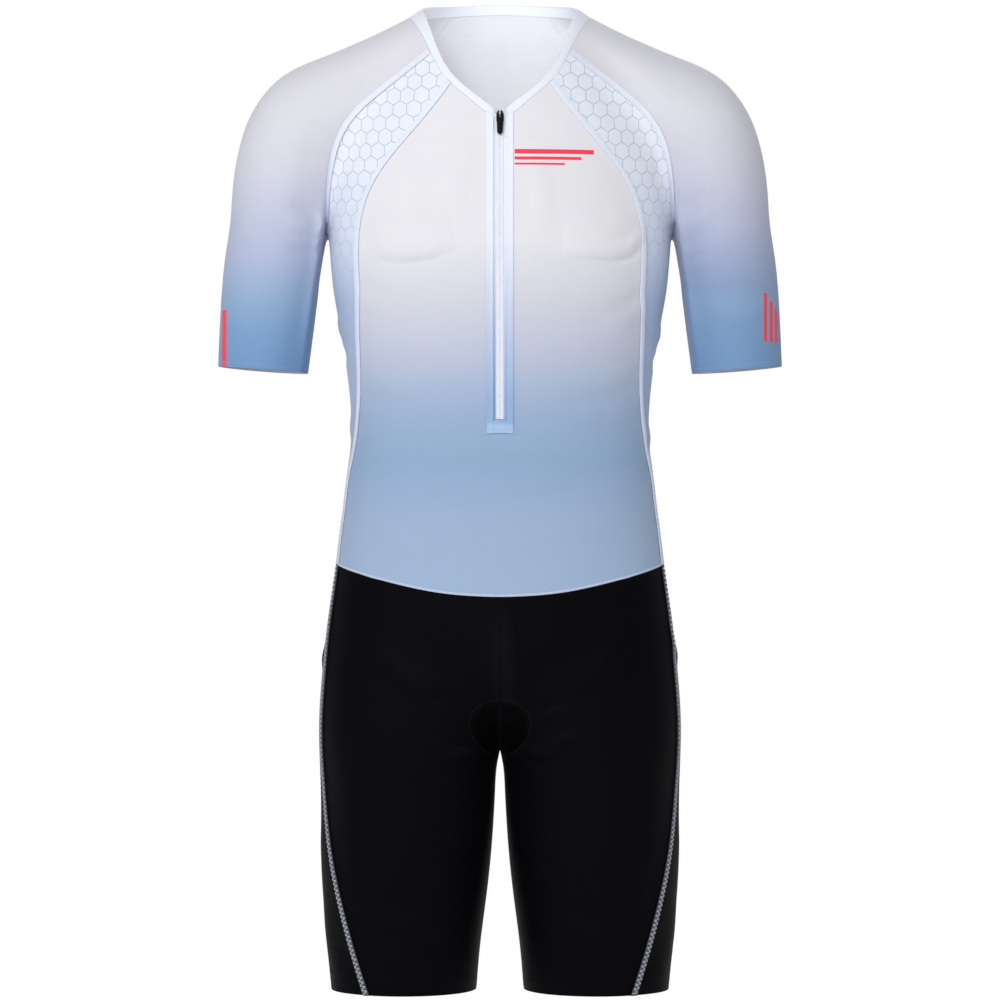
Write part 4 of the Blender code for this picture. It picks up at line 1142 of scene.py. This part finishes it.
def black_cloth(name, colour, sheen=0.006, loop=0.001, with_painted_light=False):
    """Black knit; with painted light: shade painted on the pad's nose, highlights where stretched.
    """
    material, tree, shader = finish(
        name, Roughness=0.55, Sheen_Weight=sheen, Sheen_Roughness=0.35, Specular_IOR_Level=0.035
    )
    height = use(tree, knit, Wale=loop, Course=loop * 0.75)["Height"]
    shade = use(tree, mottle, Size=0.03, Amount=0.12)["Shade"]
    # painted shade: the grooves between the loops darker
    shades = [steps(tree, height, 0, 1, 0.75, 1.0)]
    if with_painted_light:
        # painted highlights on the stretched cloth
        for place, gain in PAINTED_HIGHLIGHTS:
            shades.append(steps(tree, oval(tree, *place), 0, 1, gain, 1, smooth=True))
        # painted shade on the seat pad's nose
        shades.append(steps(tree, oval(tree, *PAD_NOSE_PAINTED_SHADE), 0.7, 1.05, 0.35, 1.0, smooth=True))
    for other in shades:
        shade = calc(tree, "MULTIPLY", shade, other)
    colour_to(tree, shader, shaded(tree, srgb(*colour), shade))
    bump_to(tree, shader, height, 0.0001)
    return material


def thread_finish(name, dye, rough=0.5, sheen=0.1, shine=0.25):
    """Spun thread or cord: one colour, or dyed by height where the dye is a run."""
    look = {"Roughness": rough, "Sheen_Weight": sheen, "Specular_IOR_Level": shine}
    material, tree, shader = finish(name, **look)
    shade = use(tree, mottle, Size=0.004, Amount=0.10)["Shade"]
    colour = by_height(tree, dye) if isinstance(dye, list) else srgb(*dye)
    colour_to(tree, shader, shaded(tree, colour, shade))
    bump_to(tree, shader, noise(tree, 2500, 2), 0.0001, 0.4)
    return material


def tape_finish(name, stops, pitch=0.0012):
    """Ribbed tape or binding, dyed by height."""
    material, tree, shader = finish(name, Roughness=0.7, Sheen_Weight=0.1)
    colour = by_height(tree, stops)
    height = use(tree, ribs, Pitch=pitch)["Height"]
    # painted shade: the troughs between the ribs darker
    shade = steps(tree, height, 0, 1, 0.94, 1.0)
    colour_to(tree, shader, shaded(tree, colour, shade))
    bump_to(tree, shader, height, 0.00015)
    return material


def zip_tape_weave():
    """Woven tape: white over the closed coil, dyed like the placket beside it."""
    material, tree, shader = finish("zip_tape_weave", Roughness=0.7, Sheen_Weight=0.1)
    aside = calc(tree, "ABSOLUTE", object_axes(tree)[0])
    share = steps(tree, aside, 3.6 * MM, 4.2 * MM)
    colour = mixed(tree, share, by_height(tree, TAPE_DYE), by_height(tree, PLACKET_DYE))
    height = use(tree, ribs, Pitch=0.0008)["Height"]
    # painted shade: the troughs between the ribs darker
    shade = steps(tree, height, 0, 1, 0.95, 1.0)
    colour_to(tree, shader, shaded(tree, colour, shade))
    bump_to(tree, shader, height, 0.00012)
    return material


def run(*stops):
    """A dye: its colour at some heights in millimetres, from the top down."""
    return [(height, srgb(*colour)) for height, colour in stops]


BODY_DYE = run(
    (-60, (229, 227, 231)), (-222, (226, 225, 229)), (-279, (207, 208, 218)),
    (-317, (193, 197, 214)), (-337, (184, 191, 211)), (-356, (170, 184, 208)),
    (-375, (160, 178, 206)), (-394, (151, 173, 203)), (-432, (140, 168, 198)),
    (-451, (146, 169, 201)), (-490, (154, 175, 203)), (-562, (156, 178, 206)),
)
RIGHT_SLEEVE_DYE = run(
    (0, (224, 222, 229)), (-95, (217, 216, 223)), (-146, (210, 210, 220)),
    (-175, (199, 202, 218)), (-204, (187, 193, 214)), (-233, (175, 184, 212)),
    (-262, (154, 174, 206)), (-277, (142, 170, 202)), (-306, (122, 157, 197)),
    (-346, (111, 148, 192)),
)
# painted shade: darker than the right sleeve from -146 to -277 mm, away from the light
LEFT_SLEEVE_DYE_AND_PAINTED_SHADE = run(
    (0, (225, 223, 230)), (-95, (217, 216, 224)), (-146, (204, 204, 217)),
    (-175, (192, 195, 213)), (-204, (180, 186, 209)), (-233, (160, 170, 200)),
    (-262, (138, 158, 193)), (-277, (133, 160, 194)), (-306, (120, 152, 190)),
    (-346, (111, 147, 188)),
)
YOKE_DYE = run(
    (-30, (233, 238, 247)), (-150, (230, 235, 245)), (-215, (214, 221, 238)),
    (-279, (174, 190, 218)), (-400, (155, 175, 206)), (-540, (154, 176, 205)),
)
PLACKET_DYE = run(
    (-98, (236, 239, 248)), (-200, (232, 236, 246)), (-222, (228, 233, 244)),
    (-260, (214, 221, 237)), (-298, (197, 205, 228)), (-336, (174, 192, 223)),
    (-375, (149, 177, 214)), (-396.5, (146, 173, 211)), (-399, (164, 192, 225)),
    (-408, (164, 192, 225)),
)
FRONT_STRIP_DYE = run(
    (-60, (230, 235, 245)), (-150, (226, 232, 243)), (-200, (224, 230, 242)),
    (-300, (216, 221, 239)), (-430, (214, 219, 234)), (-540, (198, 208, 224)),
)
RAGLAN_STRIP_DYE = run(
    (-40, (228, 231, 243)), (-128, (228, 231, 243)), (-176, (208, 212, 232)),
    (-230, (184, 190, 217)),
)
WHITE_DYE = run((30, (238, 241, 250)), (-110, (235, 238, 248)))
TAPE_DYE = run((-90, (234, 236, 245)), (-401, (228, 232, 243)))
LEG_STRIP_DYE = run((-530, (62, 66, 72)), (-948, (74, 79, 86)))
CHEST_BARS = ((52, -137, 38, 2.2), (46, -143.5, 32, 1.5), (38, -149, 24, 1.0))
RIGHT_BARS = ((-269, -314, 2.6, 29),)
LEFT_BARS = ((258, -293, 1.7, 24), (264, -297, 1.7, 20), (269.5, -301, 1.5, 16))


def dress(name, *materials):
    """Gives a piece its finish, and its inner skin another where there are two."""
    mesh = (panels.get(name) or threads[name]).data
    skins = numbers_of(mesh.polygons, "material_index")
    mesh.materials.clear()
    for material in materials:
        mesh.materials.append(material)
    mesh.polygons.foreach_set("material_index", skins)


body_inside = knit_cloth("body_knit_inside", BODY_DYE, inside=0.75)
dress("front", knit_cloth("front_knit", BODY_DYE, CHEST_BARS), body_inside)
dress("back", knit_cloth("back_knit", BODY_DYE), body_inside)
sleeve_inside = knit_cloth("sleeve_knit_inside", RIGHT_SLEEVE_DYE, inside=0.7)
yoke = knit_cloth("yoke_knit", YOKE_DYE, lattice=True)
yoke_inside = knit_cloth("yoke_knit_inside", YOKE_DYE, inside=0.7)
front_strip = tape_finish("front_seam_tape", FRONT_STRIP_DYE)
raglan_strip = tape_finish("raglan_seam_tape", RAGLAN_STRIP_DYE)
shorts_knit = black_cloth("shorts_knit", (7, 6, 10))
shorts_front_knit = black_cloth("shorts_front_knit", (7, 6, 10), with_painted_light=True)
shorts_inside = black_cloth("shorts_knit_inside", (18, 17, 21))
leg_strip = tape_finish("leg_seam_tape", LEG_STRIP_DYE)
zip_tape = zip_tape_weave()
for side, dye, bars in (
    ("left", LEFT_SLEEVE_DYE_AND_PAINTED_SHADE, LEFT_BARS),
    ("right", RIGHT_SLEEVE_DYE, RIGHT_BARS),
):
    dress("sleeve_" + side, knit_cloth("sleeve_knit_" + side, dye, bars), sleeve_inside)
    dress("side_panel_" + side, yoke, yoke_inside)
    dress("shorts_front_" + side, shorts_front_knit, shorts_inside)
    dress("shorts_back_" + side, shorts_knit, shorts_inside)
    for name, both_skins in (
        ("front_seam_tape_", front_strip),
        ("raglan_tape_", raglan_strip),
        ("shorts_seam_tape_", leg_strip),
        ("zip_tape_", zip_tape),
    ):
        dress(name + side, both_skins, both_skins)
binding_knit = tape_finish("binding_knit", WHITE_DYE, 0.0009)
dress("neck_binding", binding_knit, binding_knit)
placket_knit = tape_finish("placket_knit", PLACKET_DYE, 0.0009)
dress("zip_placket", placket_knit, placket_knit)
pad_cloth = black_cloth("pad_cloth", (26, 26, 30), 0.05, 0.0014)
dress("seat_pad", pad_cloth, pad_cloth)
thread_colours = {
    "front_seam": thread_finish("front_seam_thread", FRONT_STRIP_DYE),
    "raglan": thread_finish("raglan_thread", RAGLAN_STRIP_DYE),
    "back_threads": thread_finish("back_seam_thread", BODY_DYE),
    "binding": thread_finish("binding_thread", (228, 232, 243)),
    "placket": thread_finish("placket_thread", PLACKET_DYE),
    "cuff": thread_finish("cuff_thread", (140, 174, 214)),
    "outer_leg": thread_finish("pale_thread", (206, 211, 217)),
    "pad": thread_finish("pad_thread", (17, 16, 19), 0.6, 0.0, 0.12),
    "middle_cover": thread_finish("black_tape", (8, 7, 11), 0.6, 0.0, 0.05),
    "waist_threads": thread_finish("black_thread", (10, 9, 13), 0.6, 0.0, 0.08),
    "waist_piping": thread_finish("piping_cloth", (184, 195, 217), 0.7),
    "zip_teeth": thread_finish("zip_teeth_nylon", (234, 236, 244), 0.4),
}
for name in ("inner_leg", "hem", "shorts_middle"):
    thread_colours[name] = thread_colours["waist_threads"]
for name in threads:
    dress(name, next(thread_colours[start] for start in thread_colours if name.startswith(start)))


def slider_metal():
    """Dark plated metal, with a painted glint down its middle."""
    material, tree, shader = finish("slider_metal", Metallic=1.0, Roughness=0.34)
    grain = noise(tree, 900, 3)
    # a pale stripe down the middle is a painted glint
    beside_painted_glint = steps(tree, calc(tree, "ABSOLUTE", object_axes(tree)[0]), 0.6 * MM, 1 * MM)
    plated = mixed(tree, grain, srgb(30, 30, 34), srgb(42, 43, 48))
    colour_to(tree, shader, mixed(tree, beside_painted_glint, srgb(120, 118, 116), plated))
    tree.links.new(steps(tree, grain, 0.2, 0.8, 0.26, 0.44), shader.inputs["Roughness"])
    bump_to(tree, shader, grain, 0.00005, 0.3)
    return material


def pull_moulding():
    material, tree, shader = finish("pull_moulding", Roughness=0.55, Specular_IOR_Level=0.1)
    grain = noise(tree, 1400, 2)
    colour_to(tree, shader, mixed(tree, grain, srgb(10, 9, 11), srgb(16, 15, 18)))
    bump_to(tree, shader, grain, 0.00006, 0.4)
    return material


for piece, material in ((slider, slider_metal()), (pull, pull_moulding())):
    piece.data.materials.clear()
    piece.data.materials.append(material)

# --- light and floor ---


def soft_light(name, place, target, size, power):
    light = bpy.data.lights.new(name, "AREA")
    light.shape = "SQUARE"
    light.size = size
    light.energy = power
    lamp = bpy.data.objects.new(name, light)
    bpy.context.scene.collection.objects.link(lamp)
    lamp.location = place
    lamp.rotation_euler = (Vector(target) - Vector(place)).to_track_quat("-Z", "Y").to_euler()
    lamp.visible_camera = False


middle = (0, 0, -0.45)
soft_light("key_light", (-2.2, -3.0, 1.0), middle, 2.4, 27)
soft_light("front_light", (-0.9, -4.0, 1.4), middle, 1.2, 89)
soft_light("fill_light", (2.6, -2.6, 0.2), middle, 2.4, 2)
soft_light("back_light", (0.6, 3.2, 1.4), middle, 2.4, 45)
# a small lamp inside the neck lights the lining that the opening shows
soft_light("neck_light", (-0.006, -0.045, -0.062), (-0.004, 0.085, 0.0), 0.08, 0.085)

world = bpy.data.worlds.new("studio")
bpy.context.scene.world = world
world.use_nodes = True
sky = world.node_tree
dim, surface = sky.nodes["Background"], sky.nodes["World Output"].inputs["Surface"]
dim.inputs["Color"].default_value = (0.93, 0.95, 1, 1)
dim.inputs["Strength"].default_value = 0.42
white = add(sky, "Background", {"Color": (1, 1, 1, 1), "Strength": 1.0})
seen = add(sky, "LightPath").outputs["Is Camera Ray"]
both = add(sky, "MixShader", {0: seen, 1: dim.outputs[0], 2: white.outputs[0]})
sky.links.new(both.outputs[0], surface)


def pale_floor():
    """A round floor under the suit that turns to plain white towards its edge."""
    bm = bmesh.new()
    bmesh.ops.create_circle(bm, cap_ends=True, segments=96, radius=3.2)
    bmesh.ops.translate(bm, verts=bm.verts, vec=(0, 0, -1.15))
    floor = bpy.data.objects.new("floor", finished(bm, "floor"))
    bpy.context.scene.collection.objects.link(floor)
    material, tree, shader = finish("pale_floor", Roughness=0.9)
    x, y, _ = (calc(tree, "POWER", axis, 2) for axis in object_axes(tree))
    away = calc(tree, "SQRT", calc(tree, "ADD", x, y))
    cloud = use(tree, mottle, Size=0.6, Amount=0.01)["Shade"]
    colour_to(tree, shader, shaded(tree, srgb(238, 239, 241), cloud))
    glow = add(tree, "Emission", {"Color": (1, 1, 1, 1), "Strength": 1.0})
    share = steps(tree, away, 0.6, 1.4)
    blend = add(tree, "MixShader", {0: share, 1: shader.outputs[0], 2: glow.outputs[0]})
    tree.links.new(blend.outputs[0], tree.nodes["Material Output"].inputs["Surface"])
    floor.data.materials.append(material)


pale_floor()

# --- the creases, pressed into every panel ---

for piece in panels.values():
    put_places(piece.data, creased(places(piece.data), lines))


# --- the cut pieces, with their trims looked up ---


def sewn(trims=()):
    """A cut piece of the suit: only its trims are looked up, among the panels and threads."""
    pieces = [panels.get(trim) or threads[trim] for trim in trims]


sewn(["waist_piping"])
sewn()
sewn(["binding_threads"])
sewn(["placket_threads"])
for side in SIDES:
    of_front, of_sleeve, of_leg = (
        [name + side for name in names]
        for names in (
            ("front_seam_tape_", "front_seam_threads_"),
            ("raglan_tape_", "raglan_threads_", "back_threads_", "cuff_threads_"),
            ("shorts_seam_tape_", "outer_leg_threads_", "inner_leg_threads_", "hem_threads_"),
        )
    )
    sewn(of_front)
    sewn(of_sleeve)
    sewn()
    sewn(of_leg)
    sewn()
